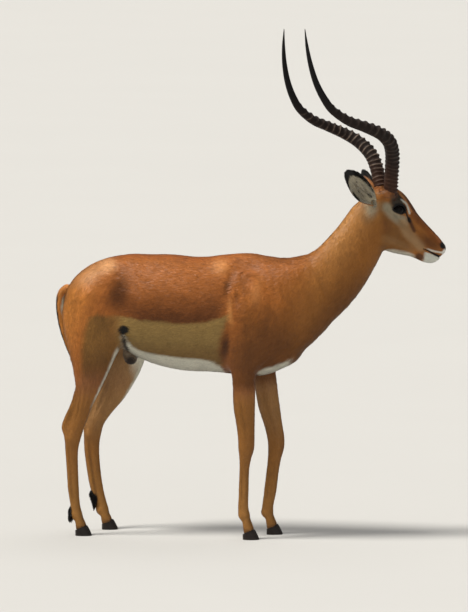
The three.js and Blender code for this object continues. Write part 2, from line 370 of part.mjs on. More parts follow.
// thin a closed mesh down to a number of facets, always taking away the edge whose loss
// moves the surface least
function thin({ pos, tri }, target) {
  const P = pos.map((p) => [...p]), T = tri.map((t) => [...t]), alive = T.map(() => true);
  const ring = P.map(() => new Set());
  const Q = P.map(() => new Float64Array(10));
  const normal = (a, b, c) => cross3(sub3(b, a), sub3(c, a));
  T.forEach((t, i) => {
    const nn = normal(P[t[0]], P[t[1]], P[t[2]]), area = Math.hypot(...nn), u = unit3(nn), d = -dot3(u, P[t[0]]);
    const q = [u[0] * u[0], u[0] * u[1], u[0] * u[2], u[0] * d, u[1] * u[1], u[1] * u[2], u[1] * d, u[2] * u[2], u[2] * d, d * d];
    for (const v of t) { ring[v].add(i); for (let c = 0; c < 10; c++) Q[v][c] += q[c] * area; }
  });
  const stamp = new Int32Array(P.length);
  const cost = (q, p) => q[0] * p[0] * p[0] + 2 * q[1] * p[0] * p[1] + 2 * q[2] * p[0] * p[2] + 2 * q[3] * p[0] + q[4] * p[1] * p[1]
    + 2 * q[5] * p[1] * p[2] + 2 * q[6] * p[1] + q[7] * p[2] * p[2] + 2 * q[8] * p[2] + q[9];
  const heap = [];
  const swap = (i, j) => { const t = heap[i]; heap[i] = heap[j]; heap[j] = t; };
  const push = (e) => { heap.push(e); let i = heap.length - 1; while (i > 0) { const p = (i - 1) >> 1; if (heap[p].w <= heap[i].w) break; swap(i, p); i = p; } };
  const pop = () => { const top = heap[0], last = heap.pop(); if (heap.length) { heap[0] = last; let i = 0; for (;;) { let l = 2 * i + 1; if (l >= heap.length) break; if (l + 1 < heap.length && heap[l + 1].w < heap[l].w) l++; if (heap[i].w <= heap[l].w) break; swap(i, l); i = l; } } return top; };
  const offer = (a, b) => {
    const q = new Float64Array(10);
    for (let c = 0; c < 10; c++) q[c] = Q[a][c] + Q[b][c];
    const L = Math.hypot(...sub3(P[a], P[b]));
    const mid = [0, 1, 2].map((c) => (P[a][c] + P[b][c]) / 2);
    const det = q[0] * (q[4] * q[7] - q[5] * q[5]) - q[1] * (q[1] * q[7] - q[5] * q[2]) + q[2] * (q[1] * q[5] - q[4] * q[2]);
    let at = mid, w = cost(q, mid);
    const scale = (q[0] + q[4] + q[7]) / 3;
    if (Math.abs(det) > 1e-4 * scale ** 3) {
      const bx = -q[3], by = -q[6], bz = -q[8];
      const X = [
        (bx * (q[4] * q[7] - q[5] * q[5]) - q[1] * (by * q[7] - q[5] * bz) + q[2] * (by * q[5] - q[4] * bz)) / det,
        (q[0] * (by * q[7] - bz * q[5]) - bx * (q[1] * q[7] - q[5] * q[2]) + q[2] * (q[1] * bz - by * q[2])) / det,
        (q[0] * (q[4] * bz - by * q[5]) - q[1] * (q[1] * bz - by * q[2]) + bx * (q[1] * q[5] - q[4] * q[2])) / det];
      if (Math.hypot(...sub3(X, mid)) < L) { at = X; w = cost(q, X); }
    }
    push({ w: w + 1e-7 * scale * L * L * 100, a, b, sa: stamp[a], sb: stamp[b], at });
  };
  const seen = new Set();
  for (const t of T) for (let e = 0; e < 3; e++) {
    const a = Math.min(t[e], t[(e + 1) % 3]), b = Math.max(t[e], t[(e + 1) % 3]), key = a * P.length + b;
    if (!seen.has(key)) { seen.add(key); offer(a, b); }
  }
  let count = T.length;
  const near = (v) => { const s = new Set(); for (const i of ring[v]) for (const w of T[i]) if (w !== v) s.add(w); return s; };
  while (count > target && heap.length) {
    const e = pop();
    if (stamp[e.a] !== e.sa || stamp[e.b] !== e.sb || stamp[e.a] < 0 || stamp[e.b] < 0) continue;
    const na = near(e.a), nb = near(e.b);
    let common = 0; for (const v of na) if (nb.has(v)) common++;
    if (common !== 2 || na.size + nb.size > 22) continue;
    let bad = false;
    for (const s of [na, nb]) for (const v of s) if (v !== e.a && v !== e.b && Math.hypot(...sub3(P[v], e.at)) < 1) bad = true;
    for (const v of [e.a, e.b]) {
      for (const i of ring[v]) {
        const t = T[i];
        if (t.includes(e.a) && t.includes(e.b)) continue;
        const n0 = unit3(normal(P[t[0]], P[t[1]], P[t[2]]));
        const pts = t.map((w) => (w === v ? e.at : P[w]));
        const n1 = normal(...pts), l1 = Math.hypot(...n1);
        const longest = Math.max(Math.hypot(...sub3(pts[0], pts[1])), Math.hypot(...sub3(pts[1], pts[2])), Math.hypot(...sub3(pts[2], pts[0])));
        if (dot3(n0, n1) < 0.5 * l1 || l1 < 0.02 * longest * longest) { bad = true; break; }
      }
      if (bad) break;
    }
    if (bad) continue;
    P[e.a] = e.at;
    for (let c = 0; c < 10; c++) Q[e.a][c] += Q[e.b][c];
    for (const i of [...ring[e.b]]) {
      const t = T[i];
      if (t.includes(e.a)) { alive[i] = false; count--; for (const w of t) ring[w].delete(i); }
      else { t[t.indexOf(e.b)] = e.a; ring[e.a].add(i); }
    }
    stamp[e.b] = -1; stamp[e.a]++;
    for (const w of near(e.a)) offer(Math.min(e.a, w), Math.max(e.a, w));
  }
  const map = new Map(), outP = [], outT = [];
  T.forEach((t, i) => { if (alive[i]) outT.push(t.map((v) => { if (!map.has(v)) { map.set(v, outP.length); outP.push(P[v]); } return map.get(v); })); });
  return { pos: outP, tri: outT };
}

// take away edges shorter than a given length, which cuts leave behind
function tidy({ pos, tri }, shortest) {
  const P = pos.map((p) => [...p]), T = tri.map((t) => [...t]), alive = T.map(() => true), ring = P.map(() => new Set());
  T.forEach((t, i) => t.forEach((v) => ring[v].add(i)));
  const near = (v) => { const s = new Set(); for (const i of ring[v]) for (const w of T[i]) if (w !== v) s.add(w); return s; };
  for (let pass = 0, done = 1; done && pass < 12; pass++) {
    done = 0;
    for (let i = 0; i < T.length; i++) {
      for (let e = 0; e < 3 && alive[i]; e++) {
        const a = T[i][e], b = T[i][(e + 1) % 3];
        if (Math.hypot(...sub3(P[a], P[b])) >= shortest) continue;
        const na = near(a), nb = near(b);
        let common = 0; for (const v of na) if (nb.has(v)) common++;
        if (common !== 2) continue;
        for (const j of [...ring[b]]) {
          const t = T[j];
          if (t.includes(a)) { alive[j] = false; for (const w of t) ring[w].delete(j); }
          else { t[t.indexOf(b)] = a; ring[a].add(j); }
        }
        done++;
      }
    }
  }
  const map = new Map(), outP = [], outT = [];
  T.forEach((t, i) => { if (alive[i]) outT.push(t.map((v) => { if (!map.has(v)) { map.set(v, outP.length); outP.push(P[v]); } return map.get(v); })); });
  return { pos: outP, tri: outT };
}

// ---------------------------------------------------------------- solids
function solid({ pos, tri }) {
  const vp = new Float32Array(pos.length * 3), tv = new Uint32Array(tri.length * 3);
  pos.forEach((p, i) => vp.set(p, i * 3));
  tri.forEach((t, i) => tv.set(t, i * 3));
  return new wasm.Manifold(new wasm.Mesh({ numProp: 3, vertProperties: vp, triVerts: tv }));
}
function inflate({ pos, tri }, d) {
  const n = pos.map(() => [0, 0, 0]);
  for (const t of tri) {
    const f = unit3(cross3(sub3(pos[t[1]], pos[t[0]]), sub3(pos[t[2]], pos[t[0]])));
    for (let e = 0; e < 3; e++) {
      const u = unit3(sub3(pos[t[(e + 1) % 3]], pos[t[e]])), v = unit3(sub3(pos[t[(e + 2) % 3]], pos[t[e]]));
      const w = Math.acos(Math.max(-1, Math.min(1, dot3(u, v))));
      for (let c = 0; c < 3; c++) n[t[e]][c] += f[c] * w;
    }
  }
  return { pos: pos.map((p, i) => { const u = unit3(n[i]); return [p[0] + d * u[0], p[1] + d * u[1], p[2] + d * u[2]]; }), tri };
}
// a prism on a polygon [x, z]..., from y0 to y1; the polygon runs anticlockwise seen along -Y
function prism(poly, y0, y1) {
  let area = 0;
  poly.forEach((p, i) => { const q = poly[(i + 1) % poly.length]; area += p[0] * q[1] - q[0] * p[1]; });
  const pts = area > 0 ? poly : [...poly].reverse(), m = pts.length;
  const pos = [...pts.map((p) => [p[0], y0, p[1]]), ...pts.map((p) => [p[0], y1, p[1]])], tri = [];
  for (const f of THREE.ShapeUtils.triangulateShape(pts.map((p) => new THREE.Vector2(p[0], p[1])), [])) {
    tri.push([f[0], f[1], f[2]], [f[0] + m, f[2] + m, f[1] + m]);
  }
  for (let i = 0; i < m; i++) { const j = (i + 1) % m; tri.push([i, m + j, j], [i, m + i, m + j]); }
  return { pos, tri };
}
// rings of points joined into a closed body, with a fan at each end
function loft(rings, closedRing = true) {
  const m = rings[0].length, pos = rings.flat(), tri = [];
  for (let r = 0; r + 1 < rings.length; r++) for (let i = 0; i < m; i++) {
    const j = (i + 1) % m, a = r * m + i, b = r * m + j, c = a + m, d = b + m;
    tri.push([a, b, d], [a, d, c]);
  }
  const cap = (start, flip) => {
    if (closedRing) for (let i = 1; i + 1 < m; i++) tri.push(flip ? [start, start + i + 1, start + i] : [start, start + i, start + i + 1]);
    else for (let i = 0; i + 1 < m / 2; i++) {          // a ring made of two facing rows
      const a = start + i, b = start + i + 1, c = start + m - 1 - i, d = start + m - 2 - i;
      tri.push(...(flip ? [[a, d, b], [a, c, d]] : [[a, b, d], [a, d, c]]));
    }
  };
  cap(0, true); cap((rings.length - 1) * m, false);
  const out = { pos, tri };
  return volume(out) < 0 ? { pos, tri: tri.map((t) => [t[0], t[2], t[1]]) } : out;
}
function volume({ pos, tri }) { let v = 0; for (const t of tri) v += dot3(pos[t[0]], cross3(pos[t[1]], pos[t[2]])) / 6; return v; }
function mapped({ pos, tri }, f) {                        // moved, and turned right side out again if it was mirrored
  const out = { pos: pos.map(f), tri };
  return volume(out) < 0 ? { pos: out.pos, tri: tri.map((t) => [t[0], t[2], t[1]]) } : out;
}
const half = (x0, z0, x1, z1, far = 3000) => {           // everything below the line in XZ
  const t = unit3([x1 - x0, 0, z1 - z0]), a = [x0 - far * t[0], z0 - far * t[2]], b = [x1 + far * t[0], z1 + far * t[2]];
  return [a, b, [b[0], Math.min(a[1], b[1]) - 3000], [a[0], Math.min(a[1], b[1]) - 3000]];
};

// ---------------------------------------------------------------- horns, ears, eyes, claws
function hornMesh(side) {
  const row = smoothRows(HORN_ROWS, 12).map((r) => [r[0], side * r[1], r[2], r[3]]);
  const len = [0];
  for (let i = 1; i < row.length; i++) len.push(len[i - 1] + Math.hypot(...sub3(row[i], row[i - 1])));
  const total = len[len.length - 1];
  const sample = (s) => {
    let i = 0; while (i + 2 < len.length && len[i + 1] < s) i++;
    const t = (s - len[i]) / (len[i + 1] - len[i]);
    return { p: row[i].map((v, c) => v + t * (row[i + 1][c] - v)), d: unit3(sub3(row[i + 1], row[i])) };
  };
  const stops = [[0, 0]];
  for (let r = 0; r < HORN_RIDGES; r++) {
    const pitch = HORN_RIDGE_END * total / HORN_RIDGES, s = 22 + (r + 0.1) * (pitch - 22 / HORN_RIDGES);
    stops.push([s, -1], [s + 0.62 * pitch, 1]);
  }
  for (let r = 1; r <= 6; r++) stops.push([total * (HORN_RIDGE_END + 0.03 + (0.97 - HORN_RIDGE_END) * r / 6), 0]);
  const rings = [];
  let up = [0, 1, 0];
  for (const [s, ridge] of stops) {
    const { p, d } = sample(Math.min(s, total));
    up = unit3(sub3(up, d.map((v) => v * dot3(up, d))));
    const w = cross3(d, up), r = Math.max(1.2, p[3] * (1 + HORN_RIDGE_DEPTH * ridge));
    rings.push(Array.from({ length: HORN_SIDES }, (_, i) => {
      const a = 2 * Math.PI * i / HORN_SIDES;
      return fromHead([0, 1, 2].map((c) => p[c] + r * (Math.cos(a) * up[c] + Math.sin(a) * w[c])));
    }));
  }
  return loft(rings);
}
function earMesh({ root, tip, open, bow, scale = 1 }, thick) {
  const axis = sub3(tip, root), length = Math.hypot(...axis), dir = unit3(axis);
  const o = unit3(sub3(open, dir.map((v) => v * dot3(open, dir)))), w = cross3(dir, o);
  const rings = [], M = 6;
  for (const [t, rho, deg] of EAR_ROWS) {
    const back = Math.sin(Math.PI * t) * bow;
    const c0 = [0, 1, 2].map((c) => root[c] + t * length * dir[c] - back * o[c]);
    const outer = [], inner = [], R = rho * scale;
    for (let i = 0; i <= M; i++) {
      const a = (-1 + 2 * i / M) * deg * Math.PI / 180;
      for (const [list, r] of [[outer, R], [inner, R - thick * (0.7 + 0.3 * Math.cos(a))]]) {
        list.push(fromHead([0, 1, 2].map((c) => c0[c] + o[c] * (R - r * Math.cos(a)) + w[c] * r * Math.sin(a))));
      }
    }
    rings.push([...outer, ...inner.reverse()]);
  }
  return loft(rings, false);
}
function eyeMesh(side, extra = 0) {
  const g = new THREE.SphereGeometry(EYE_RADIUS + extra, 12, 8), p = g.getAttribute('position');
  const key = new Map(), pos = [], tri = [], id = [];
  for (let i = 0; i < p.count; i++) {
    const v = [p.getX(i) * EYE_SQUASH[0] + EYE_CENTRE[0], p.getY(i) * EYE_SQUASH[1] + side * EYE_CENTRE[1], p.getZ(i) * EYE_SQUASH[2] + EYE_CENTRE[2]];
    const k = v.map((c) => c.toFixed(3)).join();
    if (!key.has(k)) { key.set(k, pos.length); pos.push(fromHead(v)); }
    id.push(key.get(k));
  }
  const ix = g.getIndex().array;
  for (let i = 0; i < ix.length; i += 3) { const t = [id[ix[i]], id[ix[i + 1]], id[ix[i + 2]]]; if (new Set(t).size === 3) tri.push(t); }
  return { pos, tri };
}
const coronet = (x) => CLAW_HEEL_HEIGHT + (CLAW_TOE_HEIGHT - CLAW_HEEL_HEIGHT) * x / (CLAW_LENGTH * CLAW_TOP_SCALE);
function clawMesh(foot, side) {
  const outline = [[0.07, 0.03], [0.5, 0], [0.92, 0.03], [1.0, 0.2], [0.93, 0.5], [0.78, 0.76], [0.55, 0.95], [0.3, 1], [0.11, 0.82], [0.0, 0.42]];
  const levels = [0, 0.12, 0.55, 1], rings = [];
  for (const s of levels) {
    const k = 1 - (1 - CLAW_TOP_SCALE) * s - (s === 0 ? 0.02 : 0);
    rings.push(outline.map(([u, v]) => {
      const x = u * CLAW_LENGTH * k, y = CLAW_SPLIT + (v * CLAW_WIDTH * (1 + 0.05 * s) - 0.0 * s) * (s === 0 ? 0.96 : 1);
      return [x, y, s * (coronet(x) - CUT_GAP / 2)];
    }));
  }
  const c = Math.cos(foot.splay * Math.PI / 180), d = Math.sin(foot.splay * Math.PI / 180);
  return mapped(loft(rings), ([x, y, z]) => [foot.at[0] + x * c - side * y * d, foot.at[1] + x * d + side * y * c, z]);
}

// ---------------------------------------------------------------- parting the body
const NODES = [];
const inside = (mesh, cut) => solid(mesh).intersect(solid(cut));
const keep = (name, shape, look) => NODES.push([name, shape, look]);

// cutting lines, in XZ unless said
const NECK_CUT = [[80, 892], [170, 612]];
const HEAD_CUT = [[354, 1078], [417, 893]];              // in the head's own frame
const neckSide = (gap) => prism(half(NECK_CUT[0][0] + gap, NECK_CUT[0][1], NECK_CUT[1][0] + gap, NECK_CUT[1][1]).map((p) => p), -600, 600);

function regionBehind(line, shift) {                     // the half plane on the -X side of a steep line
  const [[x0, z0], [x1, z1]] = line, t = unit3([x1 - x0, 0, z1 - z0]);
  const a = [x0 + shift - 2500 * t[0], z0 - 2500 * t[2]], b = [x1 + shift + 2500 * t[0], z1 + 2500 * t[2]];
  return prism([a, b, [b[0] - 4000, b[1]], [a[0] - 4000, a[1]]], -900, 900);
}

const g2 = CUT_GAP / 2;
const LEG_FRONT = { r: LEGS.fore_r, l: LEGS.fore_l }, LEG_HIND = { r: LEGS.hind_r, l: LEGS.hind_l };
const yRange = (side, inner) => (side === 'r' ? [-400, -inner] : [inner, 400]);
const thighPoly = (L, g) => [[-760, L.line[1] + (-760 - L.line[0]) * L.slope - g], [L.front - g, L.line[1] + (L.front - g - L.line[0]) * L.slope - g], [L.front - g, -100], [-760, -100]];
const forePoly = (L, g) => [[L.x[0] + g, L.top - g], [L.x[1] - g, L.top - g], [L.x[1] - g, -100], [L.x[0] + g, -100]];

// trunk
const trunkMesh = thin(surface(flesh, [-680, -190, 430], [190, 190, 960], [15, 15, 15]), 1850);
let trunk = solid(trunkMesh).intersect(solid(regionBehind(NECK_CUT, -g2)));
for (const s of ['r', 'l']) {
  trunk = trunk.subtract(solid(prism(forePoly(LEG_FRONT[s], -g2), ...yRange(s, FORELEG_INSIDE - g2))));
  trunk = trunk.subtract(solid(prism(thighPoly(LEG_HIND[s], -g2), ...yRange(s, THIGH_INSIDE - g2))));
}
trunk = trunk.intersect(solid(prism([[-800, 495], [300, 495], [300, 1000], [-800, 1000]], -400, 400)));
keep('trunk', trunk, 'coat_red');

// neck and head
const neckMesh = thin(surface(flesh, [15, -135, 540], [440, 270, 1130], [14, 14, 14]), 620);
const headBehind = (shift) => mapped(regionBehind(HEAD_CUT, shift), fromHead);
keep('neck', solid(neckMesh).subtract(solid(regionBehind(NECK_CUT, g2))).intersect(solid(headBehind(-g2))), 'coat_tan');
const headMesh = thin(surface((P) => flesh(fromHead(P)), [340, -80, 860], [640, 80, 1130], [7, 7, 7]), 1150);
let head = solid(mapped(headMesh, fromHead)).subtract(solid(headBehind(g2)));
const headShell = solid(mapped(inflate(headMesh, 0.5), fromHead));
for (const [tag, side] of [['r', -1], ['l', 1]]) {
  head = head.subtract(solid(inflate(eyeMesh(side), 0.4))).subtract(solid(inflate(hornMesh(side), 0.4)));
}
keep('head', head, 'coat_tan');
for (const [tag, side] of [['r', -1], ['l', 1]]) {
  keep('horn_' + tag, solid(hornMesh(side)), 'horn');
  keep('eye_' + tag, solid(eyeMesh(side)), 'eye');
  keep('ear_' + tag, solid(earMesh(EARS[tag], EAR_THICKNESS)).subtract(headShell), 'ear');
}

// tail, pressed against the rump
const tailMesh = thin(surface((P) => bodyField(P, ['tail']), [-660, -40, 540], [-570, 40, 830], [6, 6, 9]), 260);
keep('tail', solid(tailMesh).subtract(solid(inflate(trunkMesh, 0.6))), 'tail');

// legs
function band(z0, z1, x0 = -900, x1 = 500) { return prism([[x0, z0], [x1, z0], [x1, z1], [x0, z1]], -500, 500); }
function legPieces(prefix, side, L, foot, names, counts) {
  const [y0, y1] = yRange(side, prefix === 'fore' ? FORELEG_INSIDE : THIGH_INSIDE);
  const box = L.box;
  const cuts = L.cuts;
  names.forEach((name, i) => {
    const top = i === 0 ? L.meshTop : cuts[i - 1], low = i < cuts.length ? cuts[i] : 0;
    const lo = [box[0], Math.min(y0, y1), low - 14], hi = [box[1], Math.max(y0, y1), top + 14];
    lo[1] = side === 'r' ? -170 : 0; hi[1] = side === 'r' ? 0 : 170;
    if (i > 0) { lo[0] = L.lower[0]; hi[0] = L.lower[1] + (name === 'shank' ? 50 : 0); lo[1] = side === 'r' ? -125 : 40; hi[1] = side === 'r' ? -40 : 125; }
    const step = counts[i][1];
    const mesh = thin(surface(flesh, lo, hi, step), counts[i][0]);
    let s = solid(mesh);
    if (i === 0) s = s.intersect(solid(prism(prefix === 'fore' ? forePoly(L, g2) : thighPoly(L, g2), ...(side === 'r' ? [-400, y1 - g2] : [y0 + g2, 400]))));
    else s = s.intersect(solid(band(-50, cuts[i - 1] - g2)));
    if (i < cuts.length) s = s.intersect(solid(band(cuts[i] + g2, 1200)));
    else {
      // above the coronet, which slopes from toe to heel along the foot
      const c = Math.cos(foot.splay * Math.PI / 180), d = Math.sin(foot.splay * Math.PI / 180);
      const wedge = prism([[-200, coronet(-200) + g2], [200, coronet(200) + g2], [200, 400], [-200, 400]], -150, 150);
      s = s.intersect(solid(mapped(wedge, ([x, y, z]) => [foot.at[0] + x * c - y * d, foot.at[1] + x * d + y * c, z])));
    }
    keep(prefix + '_' + name + '_' + side, s, 'coat_leg');
  });
  keep(prefix + '_claw_out_' + side, solid(clawMesh(foot, side === 'r' ? -1 : 1)), 'hoof');
  keep(prefix + '_claw_in_' + side, solid(clawMesh(foot, side === 'r' ? 1 : -1)), 'hoof');
}
for (const s of ['r', 'l']) {
  legPieces('fore', s, LEG_FRONT[s], FEET['fore_' + s], ['forearm', 'cannon', 'pastern'],
    [[220, [9, 9, 14]], [160, [6, 6, 14]], [140, [5, 5, 6]]]);
  legPieces('hind', s, LEG_HIND[s], FEET['hind_' + s], ['thigh', 'shank', 'cannon', 'pastern'],
    [[260, [13, 13, 14]], [220, [8, 8, 10]], [170, [6, 6, 14]], [140, [5, 5, 6]]]);
}

// ---------------------------------------------------------------- scene
const LOOKS = {
  coat_red: [0x8c4a26, 0.75], coat_tan: [0xa9683c, 0.78], coat_leg: [0xa0683f, 0.8], tail: [0x2b1c16, 0.8],
  horn: [0x2f2622, 0.5], eye: [0x120c0a, 0.12], ear: [0xa98d78, 0.8], hoof: [0x1d1917, 0.42],
};
const impala = new THREE.Group();
impala.name = 'impala_antelope';
impala.position.set(-ORIGIN_X, -ORIGIN_Y, 0);
for (const [name, shape, look] of NODES) {
  // keep the one real body of a cut; crumbs under 30 cubic millimetres fall away
  const parts = shape.decompose().filter((p) => p.volume() > 30);
  const body = parts.sort((a, b) => b.volume() - a.volume())[0];
  const m = body.getMesh(), raw = { pos: [], tri: [] }, geometry = new THREE.BufferGeometry();
  for (let i = 0; i < m.numVert; i++) raw.pos.push([0, 1, 2].map((c) => m.vertProperties[i * m.numProp + c]));
  for (let i = 0; i < m.numTri; i++) raw.tri.push([0, 1, 2].map((c) => m.triVerts[i * 3 + c]));
  const neat = tidy(raw, SHORTEST_EDGE);
  geometry.setAttribute('position', new THREE.BufferAttribute(new Float32Array(neat.pos.flat()), 3));
  geometry.setIndex(neat.tri.flat());
  geometry.computeVertexNormals();
  const [color, roughness] = LOOKS[look];
  const mesh = new THREE.Mesh(geometry, new THREE.MeshStandardMaterial({ color, roughness, metalness: 0 }));
  mesh.name = name;
  impala.add(mesh);
}
export default impala;
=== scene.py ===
# A standing impala ram: one skin with a coat of short tufts, ringed horns, ears, eyes and claws.
import math, json, time
import bpy
import numpy as np
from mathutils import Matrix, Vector

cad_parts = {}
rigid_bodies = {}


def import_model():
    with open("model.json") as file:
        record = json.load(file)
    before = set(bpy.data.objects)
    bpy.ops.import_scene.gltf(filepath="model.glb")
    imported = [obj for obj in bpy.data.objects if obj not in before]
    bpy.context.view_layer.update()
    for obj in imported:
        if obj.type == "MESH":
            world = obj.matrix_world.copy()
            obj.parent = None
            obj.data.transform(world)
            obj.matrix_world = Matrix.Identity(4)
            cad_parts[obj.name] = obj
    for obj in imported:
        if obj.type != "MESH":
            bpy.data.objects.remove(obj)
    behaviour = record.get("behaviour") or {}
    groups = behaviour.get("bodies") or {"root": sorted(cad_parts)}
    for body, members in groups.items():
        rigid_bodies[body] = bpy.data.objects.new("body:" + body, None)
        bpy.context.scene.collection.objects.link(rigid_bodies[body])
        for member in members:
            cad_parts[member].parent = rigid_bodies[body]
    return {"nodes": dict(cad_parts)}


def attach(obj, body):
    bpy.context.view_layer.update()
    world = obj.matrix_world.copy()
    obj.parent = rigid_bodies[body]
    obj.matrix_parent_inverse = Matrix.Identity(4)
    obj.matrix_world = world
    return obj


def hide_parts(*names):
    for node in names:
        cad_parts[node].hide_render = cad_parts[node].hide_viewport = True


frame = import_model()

T0 = time.time()
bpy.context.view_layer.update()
RNG = np.random.default_rng(20417)
def note(*a): print("[impala %.1fs]" % (time.time() - T0), *a, flush=True)

ORIGIN_X, ORIGIN_Y = -25.5, 51.8
NECK_A, NECK_B, TURN = 120.0, 400.0, math.radians(38)
TILT, TILT_Z = math.radians(-3.9), 1040.0
EYE_R, EYE_C, EYE_SQ = 17.5, (465.0, 32.0, 1033.0), (1.06, 1.0, 0.98)
CLAW_L, CLAW_W, HEEL_H, TOE_H, CLAW_TOP, CLAW_SPLIT = 51.0, 19.5, 17.0, 33.0, 0.66, 1.6
FEET = {"fore_r": ((-9, -70), -4), "fore_l": ((37, 70), 4), "hind_r": ((-547, -82), -5), "hind_l": ((-500, 82), 5)}
